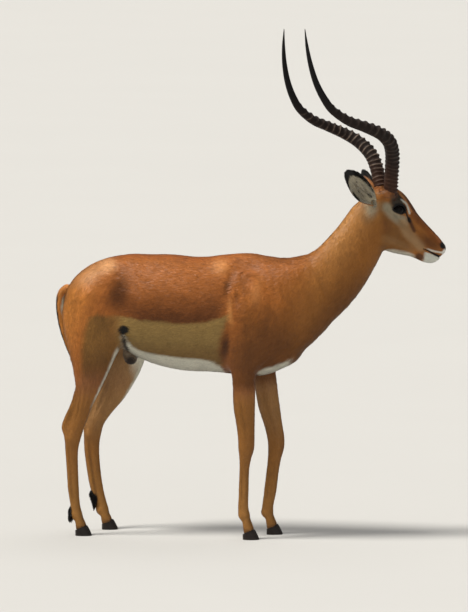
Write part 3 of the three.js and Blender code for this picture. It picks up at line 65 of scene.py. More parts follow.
# runs of oval sections: [x, y, z, half depth, half breadth, pear]; frame, blend
CHAINS = {
    "trunk": ("body", 0, [
        [-467, 0, 726, 132.9, 102, 0], [-441, 0, 735, 141.1, 111, 0], [-383, 0, 741, 149.6, 117, 0.1],
        [-325, 0, 727, 163.8, 125, 0.1], [-261, 0, 713, 178.9, 133, 0.1], [-196, 0, 704, 182.7, 136, 0.1],
        [-126, 0, 704, 183.6, 133, 0.2], [-61, 0, 706, 189.9, 122, 0.3], [3, 0, 704, 195.3, 106, 0.3]]),
    "neck": ("neck", 45, [
        [129, 0, 747, 141.8, 86, -0.1], [170, 0, 773, 126, 76, 0], [213, 0, 794, 112.5, 68, 0], [266, 0, 835, 100.8, 62, 0],
        [312, 0, 890, 92, 58, 0], [350, 0, 944, 85, 55, 0], [380, 0, 991, 80.3, 50, 0]]),
    "skull": ("head", 20, [
        [398, 0, 1057, 46, 36, 0], [433, 0, 1063, 47.9, 41, 0], [460, 0, 1049, 51.7, 43, -0.1], [491, 0, 1021, 44.1, 40, -0.1],
        [518, 0, 992, 39.4, 31, 0.1], [549, 0, 963, 36.2, 26.5, 0.1], [579, 0, 935, 34.6, 25.5, 0.1],
        [603, 0, 913, 32.1, 27, 0.1], [621, 0, 904, 23.3, 24.5, 0]]),
    "jaw": ("head", 14, [
        [436, 0, 961, 53.5, 30, 0], [464, 0, 939, 42.8, 31, 0], [498, 0, 922, 33.4, 28, 0], [526, 0, 912, 29.6, 24.5, 0],
        [550, 0, 900, 27.1, 22, 0], [574, 0, 887, 25.2, 20, 0], [594, 0, 879, 20.5, 20, 0], [610, 0, 877, 11.3, 18, 0]]),
    "fore_r": ("body", 34, [
        [52, -78, 690, 88.2, 40, 0], [6, -88, 602, 59.9, 36, 0], [-6, -84, 550, 41.6, 31, 0], [-6, -78, 486, 37.8, 27, 0],
        [-6, -75, 426, 35.9, 25.5, 0], [-2, -73, 362, 29.9, 23, 0], [0, -72, 318, 27.1, 22.5, 0], [0, -72, 289, 25.8, 22.5, 0],
        [-3, -72, 261, 20.2, 17.5, 0], [-6, -71, 226, 15.8, 13.5, 0], [-8, -71, 181, 14.2, 12.5, 0],
        [-9, -71, 137, 13.9, 13, 0], [-10, -70, 102, 15.8, 15, 0], [-8, -70, 77, 18.6, 18, 0]]),
    "fore_l": ("body", 34, [
        [51, 78, 687, 88.2, 40, 0], [23, 88, 590, 59.9, 36, 0], [22, 84, 534, 42.2, 31, 0], [32, 78, 471, 37.8, 27, 0],
        [42, 75, 411, 35.3, 25.5, 0], [57, 73, 348, 29.3, 23, 0], [65, 72, 308, 28, 22.5, 0], [66, 72, 279, 26.1, 22.5, 0],
        [61, 72, 247, 20.8, 17.5, 0], [56, 71, 212, 17, 13.5, 0], [50, 71, 168, 15.4, 12.5, 0], [44, 71, 124, 15.1, 13, 0],
        [39, 70, 92, 16.4, 15, 0], [37, 70, 70, 19.2, 18, 0]]),
    "hind_r": ("body", 32, [
        [-482, -50, 739, 100.8, 60, 0], [-487, -64, 683, 105.5, 60, 0], [-492, -74, 621, 88.2, 54, 0],
        [-496, -81, 558, 66.8, 44, 0], [-502, -84, 508, 51, 36, 0], [-509, -85, 463, 37.8, 30, 0],
        [-518, -86, 422, 27.1, 25, 0], [-528, -86, 384, 22.7, 21, 0], [-542, -86, 349, 23.3, 21, 0],
        [-556, -86, 313, 25.8, 21.5, 0], [-560, -86, 278, 21.7, 17.5, 0], [-559, -85, 240, 18.6, 14.5, 0],
        [-556, -84, 183, 16.1, 13.5, 0], [-553, -83, 126, 15.1, 14, 0], [-550, -82, 91, 16.4, 15.5, 0],
        [-547, -82, 66, 19.5, 18.5, 0]]),
    "hind_l": ("body", 32, [
        [-471, 50, 729, 100.8, 60, 0], [-445, 64, 671, 105.5, 60, 0], [-434, 74, 600, 88.2, 54, 0],
        [-434, 81, 543, 69.3, 44, 0], [-446, 84, 495, 56.7, 36, 0], [-464, 85, 447, 45.7, 30, 0], [-485, 86, 408, 35.9, 25, 0],
        [-503, 86, 373, 27.7, 21, 0], [-519, 86, 344, 25.8, 21, 0], [-530, 86, 312, 27.4, 21.5, 0],
        [-533, 86, 274, 23.9, 17.5, 0], [-530, 85, 230, 21.1, 14.5, 0], [-522, 84, 173, 18.6, 13.5, 0],
        [-512, 83, 120, 17.3, 14, 0], [-505, 82, 88, 18.6, 15.5, 0], [-500, 82, 63, 20.8, 18.5, 0]]),
    "calc_r": ("body", 10, [
        [-542, -85, 456, 10.7, 12, 0], [-555, -86, 418, 8.5, 8.5, 0], [-573, -86, 380, 7.9, 8, 0],
        [-583, -86, 351, 9.4, 9.5, 0], [-582, -86, 337, 10.7, 11, 0], [-569, -86, 310, 12.6, 15, 0]]),
    "calc_l": ("body", 10, [
        [-508, 85, 439, 10.7, 12, 0], [-526, 86, 407, 8.5, 8.5, 0], [-542, 86, 372, 7.9, 8, 0], [-551, 86, 340, 9.4, 9.5, 0],
        [-550, 86, 324, 10.7, 11, 0], [-538, 86, 299, 12.6, 15, 0]]),
    "tail": ("body", 8, [
        [-594, 0, 776, 15.8, 15, 0], [-610, 0, 760, 16.4, 17, 0], [-617, 0, 728, 15.1, 19, 0], [-614, 0, 687, 14.5, 20, 0],
        [-605, 0, 642, 13.5, 20, 0], [-592, 0, 598, 11.3, 16, 0], [-583, 0, 564, 6.3, 8, 0]]),
    "dig_fr_a": ("body", 7, [
        [-7, -75, 78, 14, 12, 0], [1, -79.5, 56, 12.6, 10.6, 0], [7, -81.6, 32, 14.6, 10.8, 0], [10, -81.9, 18, 15.6, 11, 0]]),
    "dig_fr_b": ("body", 7, [
        [-7, -65, 78, 14, 12, 0], [1, -60.5, 56, 12.6, 10.6, 0], [7, -58.4, 32, 14.6, 10.8, 0], [10, -58.1, 18, 15.6, 11, 0]]),
    "dig_fl_a": ("body", 7, [
        [38, 65, 72, 14, 12, 0], [46, 60.5, 53, 12.6, 10.6, 0], [52, 58.4, 32, 14.6, 10.8, 0], [56, 58.1, 18, 15.6, 11, 0]]),
    "dig_fl_b": ("body", 7, [
        [38, 75, 72, 14, 12, 0], [46, 79.5, 53, 12.6, 10.6, 0], [52, 81.6, 32, 14.6, 10.8, 0], [56, 81.9, 18, 15.6, 11, 0]]),
    "dig_hr_a": ("body", 7, [
        [-546, -87, 68, 14, 12, 0], [-538, -91.5, 51, 12.6, 10.6, 0], [-532, -93.6, 32, 14.6, 10.8, 0],
        [-529, -93.9, 18, 15.6, 11, 0]]),
    "dig_hr_b": ("body", 7, [
        [-546, -77, 68, 14, 12, 0], [-538, -72.5, 51, 12.6, 10.6, 0], [-532, -70.4, 32, 14.6, 10.8, 0],
        [-529, -70.1, 18, 15.6, 11, 0]]),
    "dig_hl_a": ("body", 7, [
        [-500, 77, 65, 14, 12, 0], [-492, 72.5, 50, 12.6, 10.6, 0], [-486, 70.4, 32, 14.6, 10.8, 0],
        [-482, 70.1, 18, 15.6, 11, 0]]),
    "dig_hl_b": ("body", 7, [
        [-500, 87, 65, 14, 12, 0], [-492, 91.5, 50, 12.6, 10.6, 0], [-486, 93.6, 32, 14.6, 10.8, 0],
        [-482, 93.9, 18, 15.6, 11, 0]]),
    "web_r": ("body", 12, [
        [-532, -86, 431, 15.8, 8, 0], [-545, -86, 396, 17, 7.5, 0], [-561, -86, 364, 17.6, 8, 0], [-570, -86, 338, 14.5, 10, 0]]),
    "web_l": ("body", 12, [
        [-498, 86, 414, 15.8, 8, 0], [-513, 86, 385, 17, 7.5, 0], [-529, 86, 353, 17.6, 8, 0], [-537, 86, 328, 14.5, 10, 0]]),
    "fold_r": ("body", 22, [
        [-411, -98, 657, 15.8, 9, 0], [-380, -104, 661, 14.2, 9, 0], [-345, -104, 646, 15.8, 12, 0]]),
    "fold_l": ("body", 22, [
        [-369, 98, 625, 15.8, 9, 0], [-347, 104, 631, 14.2, 9, 0], [-315, 104, 613, 15.8, 12, 0]]),
    "face": ("head", 16, [
        [445, 0, 1001, 53.5, 34, 0], [499, 0, 959, 37.8, 28.5, 0], [548, 0, 930, 28.3, 24, 0], [582, 0, 908, 22.1, 22, 0]]),
}
# rounded forms: frame, centre, radii, tilt, blend, 1 added or -1 taken away; both sides where y is not 0
FORMS = [
    ("body", (38, 74, 759), (34, 30, 100), 28, 34, 1),   # shoulder blade
    ("body", (40, 84, 646), (58, 26, 36), -25, 26, 1),   # triceps and upper arm
    ("body", (116, 60, 655), (26, 26, 30), 0, 28, 1),   # point of the shoulder
    ("body", (-7, 88, 592), (19, 17, 20), 0, 20, 1),   # elbow
    ("body", (100, 0, 594), (52, 54, 34), -20, 34, 1),   # breast
    ("body", (-498, 64, 759), (58, 44, 40), 20, 32, 1),   # rump
    ("body", (-408, 64, 799), (26, 20, 16), 0, 26, 1),   # point of the hip
    ("body", (-558, 42, 686), (34, 36, 58), 8, 24, 1),   # buttock
    ("body", (-573, 0, 681), (26, 30, 60), 6, 22, 1),   # below the tail root
    ("body", (-396, 152, 732), (52, 34, 36), -25, 30, -1),   # hollow of the flank
    ("body", (-42, 150, 807), (12, 40, 70), 12, 22, -1),   # furrow behind the shoulder
    ("body", (-390, 0, 568), (26, 24, 34), 14, 10, 1),   # scrotum
    ("head", (434, 31, 1081), (27, 24, 25), 0, 12, 1),   # seat of the horn
    ("head", (471, 37, 1058), (22, 12, 9), -28, 9, 1),   # brow
    ("head", (440, 30, 999), (36, 13, 16), -38, 18, 1),   # cheek bone
    ("head", (432, 24, 958), (27, 14, 30), -20, 22, 1),   # jaw muscle
    ("head", (491, 17, 962), (40, 14, 14), -40, 18, 1),   # side of the face
    ("head", (504, 43, 998), (16, 11, 6), -42, 8, -1),   # hollow before the eye
    ("head", (606, 16, 917), (13, 9, 9), -35, 10, 1),   # wing of the nostril
    ("head", (420, 0, 1088), (20, 30, 13), 8, 16, 1),   # poll
]
HORN_ROWS = [
    [443, 25, 1066, 21], [440, 34.9, 1106, 21.5], [436, 54.4, 1169, 21], [426, 78.2, 1213, 20.3], [401, 108.1, 1250, 19], [362, 128.6, 1277, 17], [309, 131.2, 1300, 15.2], [254, 123.2, 1322, 14], [205, 113.8, 1357, 12.6], [177, 107.4, 1397, 11.2], [156, 99.5, 1446, 9.6], [143, 91.6, 1502, 7.6], [137, 82.8, 1558, 5], [136, 73.5, 1614, 1]]
EAR_ROWS = [[0, 13, 140], [0.12, 18.5, 124], [0.25, 25.5, 104], [0.4, 31, 88], [0.56, 33, 76], [0.72, 32.5, 62], [0.86, 30.5, 45], [0.95, 25, 31], [1, 14, 20]]
EARS = {"r": ((373, -27, 1064), (260, -82, 1162), (0.1, -0.97, -0.2), 6, 1.06), "l": ((381, 27, 1070), (426, 138, 1153), (0.9, -0.35, -0.25), 6, 1.0)}
MOUTH = [(556, 906), (571, 900), (585, 892), (602, 884), (624, 875)]
NOSTRILS = [((621, 13.5, 918), (6.0, 4.2, 4.2), -30, 1.5), ((609, 19.0, 920), (6.0, 4.5, 2.0), -20, 1.2)]
LIP_X, LIP_TOP = 632, 901
GRID = (
    [(-640, 4.8), (-375, 8.5), (-75, 4.8), (118, 7.5), (352, 2.3), (606, None)],
    [(-150, 6.0), (-112, 4.4), (-36, 6.0), (32, 2.5), (208, 4.5), (250, None)],
    [(14, 3.4), (110, 7.0), (480, 8.0), (852, 2.3), (1112, None)])
PITCH = 6.0                        # mm2 of skin for each tuft of the body
WORLD_LIGHT = 0.34
LIGHTS = (("key", (-0.55, -0.30, 1.0), 3.6, 18, (1.0, 0.965, 0.90)), ("top", (0.2, 0.5, 1.0), 0.5, 40, (1.0, 0.99, 0.97)), ("fill", (0.6, -1.0, 0.35), 0.25, 50, (1.0, 0.98, 0.96)))
# working frame (mm) to the frame of the model (m)
def world(P): return (np.asarray(P, float) - np.array([ORIGIN_X, ORIGIN_Y, 0.0])) * 0.001

# ------------------------------------------------------------------ small maths
def ss(x, a, b):
    t = np.clip((x - a) / (b - a), 0, 1)
    return t * t * (3 - 2 * t)
def unit(v): return v / np.maximum(np.linalg.norm(v, axis=-1, keepdims=True), 1e-9)
def bell(x, c, w): return np.exp(-((x - c) / w) ** 2)
R_B = (NECK_B - NECK_A) / TURN
CT, ST_, CR, SR = math.cos(TURN), math.sin(TURN), math.cos(TILT), math.sin(TILT)
HX, HY = NECK_A + R_B * ST_, R_B * (1 - CT)
def to_neck(P):
    x, y = P[..., 0], P[..., 1]
    th = np.arctan2(x - NECK_A, R_B - y)
    X = NECK_A + th * R_B
    Y = R_B - np.hypot(x - NECK_A, R_B - y)
    dx, dy = x - HX, y - HY
    X2, Y2 = NECK_B + dx * CT + dy * ST_, -dx * ST_ + dy * CT
    out = P.copy()
    base, far = x <= NECK_A, th > TURN
    out[..., 0] = np.where(base, x, np.where(far, X2, X))
    out[..., 1] = np.where(base, y, np.where(far, Y2, Y))
    return out
def from_neck(P):
    x, y = P[..., 0], P[..., 1]
    th = np.clip((x - NECK_A) / R_B, 0, TURN)
    ex = np.maximum(x - NECK_B, 0)
    out = P.copy()
    base = x <= NECK_A
    out[..., 0] = np.where(base, x, NECK_A + R_B * np.sin(th) + ex * np.cos(th) - y * np.sin(th))
    out[..., 1] = np.where(base, y, R_B * (1 - np.cos(th)) + ex * np.sin(th) + y * np.cos(th))
    return out
def to_head(P):
    dx, dy, z = P[..., 0] - HX, P[..., 1] - HY, P[..., 2] - TILT_Z
    y = -dx * ST_ + dy * CT
    return np.stack([NECK_B + dx * CT + dy * ST_, y * CR + z * SR, TILT_Z - y * SR + z * CR], -1)
def from_head(P):
    P = np.asarray(P, float)
    e = P[..., 0] - NECK_B
    y = P[..., 1] * CR - (P[..., 2] - TILT_Z) * SR
    z = TILT_Z + P[..., 1] * SR + (P[..., 2] - TILT_Z) * CR
    return np.stack([HX + e * CT - y * ST_, HY + e * ST_ + y * CT, z], -1)
def dir_from_head(D):
    y = D[..., 1] * CR - D[..., 2] * SR
    z = D[..., 1] * SR + D[..., 2] * CR
    return np.stack([D[..., 0] * CT - y * ST_, D[..., 0] * ST_ + y * CT, z], -1)
def dir_from_neck(D, X):
    th = np.clip((X - NECK_A) / R_B, 0, TURN)
    c, s = np.cos(th), np.sin(th)
    return np.stack([D[..., 0] * c - D[..., 1] * s, D[..., 0] * s + D[..., 1] * c, D[..., 2]], -1)
def smooth_rows(rows, n):
    P = np.array(rows, float); out = []
    for i in range(len(P) - 1):
        p0, p1, p2, p3 = P[max(i - 1, 0)], P[i], P[i + 1], P[min(i + 2, len(P) - 1)]
        for j in range(n):
            t = j / n
            out.append(0.5 * (2 * p1 + (p2 - p0) * t + (2 * p0 - 5 * p1 + 4 * p2 - p3) * t * t + (3 * p1 - p0 - 3 * p2 + p3) * t ** 3))
    out.append(P[-1])
    return np.array(out)

# ------------------------------------------------------------------ the field of the body
class Chain:
    def __init__(self, name, kind, k, rows):
        self.name, self.kind, self.k = name, kind, k
        C = smooth_rows(rows, 4)
        self.A, self.B = C[:-1], C[1:]
        self.AB = self.B[:, :3] - self.A[:, :3]
        self.L2 = (self.AB ** 2).sum(1)
        nx, nz = -self.AB[:, 2], self.AB[:, 0]
        flip = (nz < 0) | ((np.abs(nz) < 1e-6) & (nx < 0))
        nx, nz = np.where(flip, -nx, nx), np.where(flip, -nz, nz)
        m = np.maximum(np.hypot(nx, nz), 1e-9)
        self.NX, self.NZ = nx / m, nz / m
        r = np.maximum(np.array(rows)[:, 3], np.array(rows)[:, 4])[:, None] + 70
        self.lo, self.hi = (np.array(rows)[:, :3] - r).min(0), (np.array(rows)[:, :3] + r).max(0)
        self.T = unit(self.AB)
        self.LA, self.LB, self.LAB, self.LL = self.A.tolist(), self.B.tolist(), self.AB.tolist(), self.L2.tolist()
        self.LN = np.stack([self.NX, self.NZ], 1).tolist()
    def seg(self, P, i):
        a, b, ab = self.LA[i], self.LB[i], self.LAB[i]
        px, py, pz = P[..., 0] - a[0], P[..., 1] - a[1], P[..., 2] - a[2]
        t = np.clip((px * ab[0] + py * ab[1] + pz * ab[2]) / self.LL[i], 0, 1)
        qx, qy, qz = px - t * ab[0], py - t * ab[1], pz - t * ab[2]
        rn, rl, pe = a[3] + t * (b[3] - a[3]), a[4] + t * (b[4] - a[4]), a[5] + t * (b[5] - a[5])
        ns = (qx * self.LN[i][0] + qz * self.LN[i][1]) / rn
        nn = np.sqrt(qx * qx + qz * qz)
        rle = rl * (1 - pe * np.clip(ns, -1.2, 1.2))
        u, v = nn / rn, qy / rle
        k0 = np.sqrt(u * u + v * v) + 1e-9
        k1 = np.sqrt((u / rn) ** 2 + (v / rle) ** 2) + 1e-9
        return k0 * (k0 - 1) / k1
    def dist(self, P, want=False):
        n = len(P)
        best, which = np.full(n, 1e3), np.zeros(n, int)
        ok = np.flatnonzero(((P >= self.lo) & (P <= self.hi)).all(1))
        if len(ok):
            Q = P[ok]; b = np.full(len(ok), 1e3); w = np.zeros(len(ok), int)
            for i in range(len(self.A)):
                mid = (self.A[i, :3] + self.B[i, :3]) / 2
                R = math.sqrt(self.L2[i]) / 2 + max(self.A[i, 3:5].max(), self.B[i, 3:5].max()) + 72
                near = np.flatnonzero(((Q - mid) ** 2).sum(1) < R * R)
                if not len(near): continue
                d = self.seg(Q[near], i); m = d < b[near]
                b[near[m]] = d[m]; w[near[m]] = i
            best[ok] = b; which[ok] = w
        return (best, which) if want else best
def smin(a, b, k):
    h = np.maximum(k - np.abs(a - b), 0) / k
    return np.minimum(a, b) - h * h * k * 0.25
ALL = [Chain(n, *c) for n, c in CHAINS.items()]
FORM = []
for kind, c, r, rot, k, sg in FORMS:
    for s in ((1,) if c[1] == 0 else (-1, 1)): FORM.append((kind, np.array([c[0], s * c[1], c[2]]), np.array(r, float), math.radians(rot), k, sg))
def form_d(Q, c, r, rot):
    q = Q - c; ca, sa = math.cos(rot), math.sin(rot)
    x, z = q[..., 0] * ca + q[..., 2] * sa, -q[..., 0] * sa + q[..., 2] * ca
    u, v, w = x / r[0], q[..., 1] / r[1], z / r[2]
    k0 = np.sqrt(u * u + v * v + w * w) + 1e-9
    k1 = np.sqrt((u / r[0]) ** 2 + (v / r[1]) ** 2 + (w / r[2]) ** 2) + 1e-9
    return k0 * (k0 - 1) / k1

# eyes, in the head's frame
EYE_O = {-1: unit(np.array([0.20, -0.975, 0.06])), 1: unit(np.array([0.20, 0.975, 0.06]))}
def eye_axes(s):
    o = EYE_O[s]; e1 = np.array([math.cos(math.radians(-17)), 0, math.sin(math.radians(-17))])
    e1 = unit(e1 - o * (e1 @ o)); e2 = np.cross(e1, o); e2 = e2 * (1 if e2[2] > 0 else -1)
    return o, e1, e2
LID = 1.9
def lids(H, d):
    for s in (-1, 1):
        c = np.array([EYE_C[0], s * EYE_C[1], EYE_C[2]])
        q = (H - c) / np.array(EYE_SQ)
        r = np.sqrt((q * q).sum(-1))
        m = r < 42
        if not m.any(): continue
        o, e1, e2 = eye_axes(s)
        a, b, f = q[m] @ e1, q[m] @ e2, q[m] @ o
        ball = r[m] - (EYE_R + LID)
        dd = smin(d[m], ball, 7.0)
        # the corner towards the nose is drawn out and a little lower
        w = np.where(a > 0, 18.6, 16.8)
        t = np.clip(a / w, -1.25, 1.25)
        h = np.where(b > 0, 11.6, 8.8) * (1 - t * t)
        slope = np.where(b > 0, 11.6, 8.8) * 2 * np.abs(t) / w
        gap = np.maximum((np.abs(b) - h) / np.sqrt(1 + slope * slope), 3.0 - f)
        dd = -smin(-dd, gap, 1.6)
        # a crease above the upper lid is measured here but not applied
        ar = np.abs(r[m] - (EYE_R + 3.4)); arc = np.sqrt(ar ** 2 + np.maximum(0, 16.4 + 0 * b - b) ** 2 * 0.8)
        d[m] = dd
    return d
MOUTH_P = np.array(MOUTH, float)
def polyline_d(x, z, P):
    best = np.full(x.shape, 1e3)
    for a, b in zip(P[:-1], P[1:]):
        ab = b - a; t = np.clip(((x - a[0]) * ab[0] + (z - a[1]) * ab[1]) / (ab @ ab), 0, 1)
        best = np.minimum(best, np.hypot(x - a[0] - t * ab[0], z - a[1] - t * ab[1]))
    return best
def face_detail(H, d):
    d = lids(H, d)
    m = (H[..., 0] > 500) & (np.abs(d) < 30)
    if m.any():
        Q = H[m]; dd = d[m]
        for s in (-1, 1):
            for c, r, rot, k in NOSTRILS:
                e = form_d(Q, np.array([c[0], s * c[1], c[2]]), np.array(r, float), math.radians(rot))
                dd = -smin(-dd, e, k)
        g = polyline_d(Q[..., 0], Q[..., 2], MOUTH_P) - 0.8
        dd = -smin(-dd, np.maximum(g, -(dd + 3.0)), 1.4)
        # groove down the middle of the upper lip
        g = np.sqrt(Q[..., 1] ** 2 + 0 * g) - 0.7 + 40 * (Q[..., 2] > LIP_TOP) + 40 * (Q[..., 0] < LIP_X)
        dd = -smin(-dd, np.maximum(g, -(dd + 1.8)), 1.4)
        d[m] = dd
    return d
def coronet(x): return HEEL_H + (TOE_H - HEEL_H) * x / (CLAW_L * CLAW_TOP)
def foot_xy(P, f):
    at, splay = FEET[f]; c, s = math.cos(math.radians(splay)), math.sin(math.radians(splay))
    dx, dy = P[..., 0] - at[0], P[..., 1] - at[1]
    return dx * c + dy * s, -dx * s + dy * c
def clip_feet(P, d):
    m = P[..., 2] < 60
    if m.any():
        Q = P[m]; cut = np.full(len(Q), -1e3)
        for f in FEET:
            x, y = foot_xy(Q, f)
            near = (np.abs(x - 20) < 70) & (np.abs(y) < 60)
            cut = np.where(near, coronet(x) - 0.4 - Q[..., 2], cut)
        d[m] = -smin(-d[m], -cut, 1.2)
    return d
def coat_depth(P, N):
    """how far the skin lies under the tips of the coat"""
    z, xn = P[..., 2], N[..., 0]
    body = 1.5 + 1.9 * ss(z, 330, 560)
    body = np.where(z < 120, 1.1 + 0.4 * ss(z, 30, 120), body)
    head = 1.0 + 1.0 * (1 - ss(xn, 430, 520))
    return body + (head - body) * ss(xn, 375, 425)
def finish_field(P, N, H, d):
    headish = N[..., 0] > 400
    if headish.any():
        t = d[headish]; d[headish] = face_detail(H[headish], t)
    return clip_feet(P, d) + coat_depth(P, N)
def field(P):
    P = np.asarray(P, float)
    N = to_neck(P); H = to_head(P); d = None
    for c in ALL:
        e = c.dist({"body": P, "neck": N, "head": H}[c.kind])
        d = e if d is None else smin(d, e, c.k)
    for kind, c, r, rot, k, sg in FORM:
        Q = P if kind == "body" else H
        near = np.flatnonzero(((Q - c) ** 2).sum(1) < (r.max() + k + 45) ** 2)
        if not len(near): continue
        e = form_d(Q[near], c, r, rot)
        d[near] = smin(d[near], e, k) if sg > 0 else -smin(-d[near], e, k)
    return finish_field(P, N, H, d)
def field_blocks(P, cen, rad):
    """the same on blocks of points: P (blocks, points, 3); far chains are left out block by block"""
    nb, m = P.shape[:2]
    Nc, Hc = to_neck(cen), to_head(cen)
    d = np.full((nb, m), 1e3, np.float32); seen = np.zeros(nb, bool)
    N = to_neck(P); H = to_head(P)
    for c in ALL:
        Cc = {"body": cen, "neck": Nc, "head": Hc}[c.kind]; Q = {"body": P, "neck": N, "head": H}[c.kind]
        ok = np.flatnonzero(((Cc >= c.lo - rad) & (Cc <= c.hi + rad)).all(1))
        if not len(ok): continue
        D = np.stack([c.seg(Cc[ok], i) for i in range(len(c.A))])
        lo = D.min(0)
        act = lo < rad * 1.6 + c.k + 50
        ok, D, lo = ok[act], D[:, act], lo[act]
        if not len(ok): continue
        e = np.full((len(ok), m), 1e3, np.float32)
        for i in range(len(c.A)):
            s = np.flatnonzero(D[i] < lo + 2.1 * rad + 3)
            if len(s): e[s] = np.minimum(e[s], c.seg(Q[ok[s]], i))
        first = ~seen[ok]
        cur = d[ok]
        new = smin(cur, e, max(c.k, 1e-3)); new[first] = e[first]
        d[ok] = new; seen[ok] = True
    for kind, c, r, rot, k, sg in FORM:
        Cc, Q = (cen, P) if kind == "body" else (Hc, H)
        s = np.flatnonzero(form_d(Cc, c, r, rot) < rad * 1.6 + k + 40)
        if len(s):
            e = form_d(Q[s], c, r, rot)
            d[s] = smin(d[s], e, k) if sg > 0 else -smin(-d[s], e, k)
    f = finish_field(P.reshape(-1, 3), N.reshape(-1, 3), H.reshape(-1, 3), d.reshape(-1))
    return f.reshape(nb, m)

# ------------------------------------------------------------------ the skin: a closed mesh of the field
def spaced(stops):
    """coordinates from stops [(start, step), ..., (end, None)], with steps that change gently"""
    xs = [stops[0][0]]; S0 = np.array([s[0] for s in stops[:-1]]); H0 = [s[1] for s in stops[:-1]]
    step = H0[0]
    while xs[-1] < stops[-1][0]:
        want = H0[int(np.searchsorted(S0, xs[-1], side="right")) - 1]
        ahead = H0[int(np.searchsorted(S0, xs[-1] + 18, side="right")) - 1]
        want = min(want, ahead * 1.0 if ahead < want else want)
        step += (want - step) * 0.5
        xs.append(xs[-1] + step)
    return np.array(xs)
def build_skin():
    gx, gy, gz = (spaced(s) for s in GRID)
    B = 8
    pad = lambda g: np.append(g, g[-1] + np.arange(1, (-(len(g) - 1)) % B + 1) * (g[-1] - g[-2]))
    gx, gy, gz = pad(gx), pad(gy), pad(gz)
    nb = [(len(g) - 1) // B for g in (gx, gy, gz)]
    note("grid", len(gx), len(gy), len(gz), "blocks", nb)
    cx, cy, cz = ((g[:-1:B][:n] + g[B::B][:n]) / 2 for g, n in zip((gx, gy, gz), nb))
    hx, hy, hz = ((g[B::B][:n] - g[:-1:B][:n]) / 2 for g, n in zip((gx, gy, gz), nb))
    I = np.stack(np.meshgrid(*[np.arange(n) for n in nb], indexing="ij"), -1).reshape(-1, 3)
    cen = np.stack([cx[I[:, 0]], cy[I[:, 1]], cz[I[:, 2]]], 1)
    rad = np.sqrt(hx[I[:, 0]] ** 2 + hy[I[:, 1]] ** 2 + hz[I[:, 2]] ** 2)
    f = field(cen)
    keep = np.abs(f) < rad * 1.12 + 5
    I, cen, rad = I[keep], cen[keep], rad[keep]
    note("blocks kept", len(I))
    val = np.full((len(gx), len(gy), len(gz)), 1e3, np.float32)
    # blocks inside the body that the surface misses
    inside = np.flatnonzero(f < 0)
    J = np.stack(np.meshgrid(*[np.arange(n) for n in nb], indexing="ij"), -1).reshape(-1, 3)[inside]
    for i, j, k in J: val[i * B:i * B + B + 1, j * B:j * B + B + 1, k * B:k * B + B + 1] = -1e3
    o = np.arange(B + 1)
    R = float(rad.max())
    for a in range(0, len(I), 1500):
        b = I[a:a + 1500]
        X = gx[b[:, 0, None] * B + o]; Y = gy[b[:, 1, None] * B + o]; Z = gz[b[:, 2, None] * B + o]
        P = np.empty((len(b), B + 1, B + 1, B + 1, 3), np.float32)
        P[..., 0] = X[:, :, None, None]; P[..., 1] = Y[:, None, :, None]; P[..., 2] = Z[:, None, None, :]
        v = field_blocks(P.reshape(len(b), -1, 3), cen[a:a + 1500], float(rad[a:a + 1500].max())).reshape(len(b), B + 1, B + 1, B + 1)
        for (i, j, k), w in zip(b, v): val[i * B:i * B + B + 1, j * B:j * B + B + 1, k * B:k * B + B + 1] = w
    note("values")
    uncross(val)
    V, Q = nets(val, gx, gy, gz)
    note("nets", len(V), len(Q))
    return V, Q
def uncross(f):
    """where inside and outside meet crosswise on a cell's face, the surface would touch itself"""
    for _ in range(6):
        found = 0
        for ax in range(3):
            u, v = (ax + 1) % 3, (ax + 2) % 3
            def cut(a, b):
                sl = [slice(None)] * 3
                sl[u] = slice(a, f.shape[u] - 1 + a); sl[v] = slice(b, f.shape[v] - 1 + b)
                return tuple(sl)
            s = f < 0
            a, b, c, d = s[cut(0, 0)], s[cut(1, 0)], s[cut(1, 1)], s[cut(0, 1)]
            bad = np.argwhere((a == c) & (b == d) & (a != b))
            for p in bad:
                q = []
                for i, j in ((0, 0), (1, 0), (1, 1), (0, 1)):
                    t = p.copy(); t[u] += i; t[v] += j; q.append(tuple(t))
                out = [t for t in q if f[t] >= 0]
                f[min(out, key=lambda t: f[t])] = -0.01
            found += len(bad)
        if not found: break
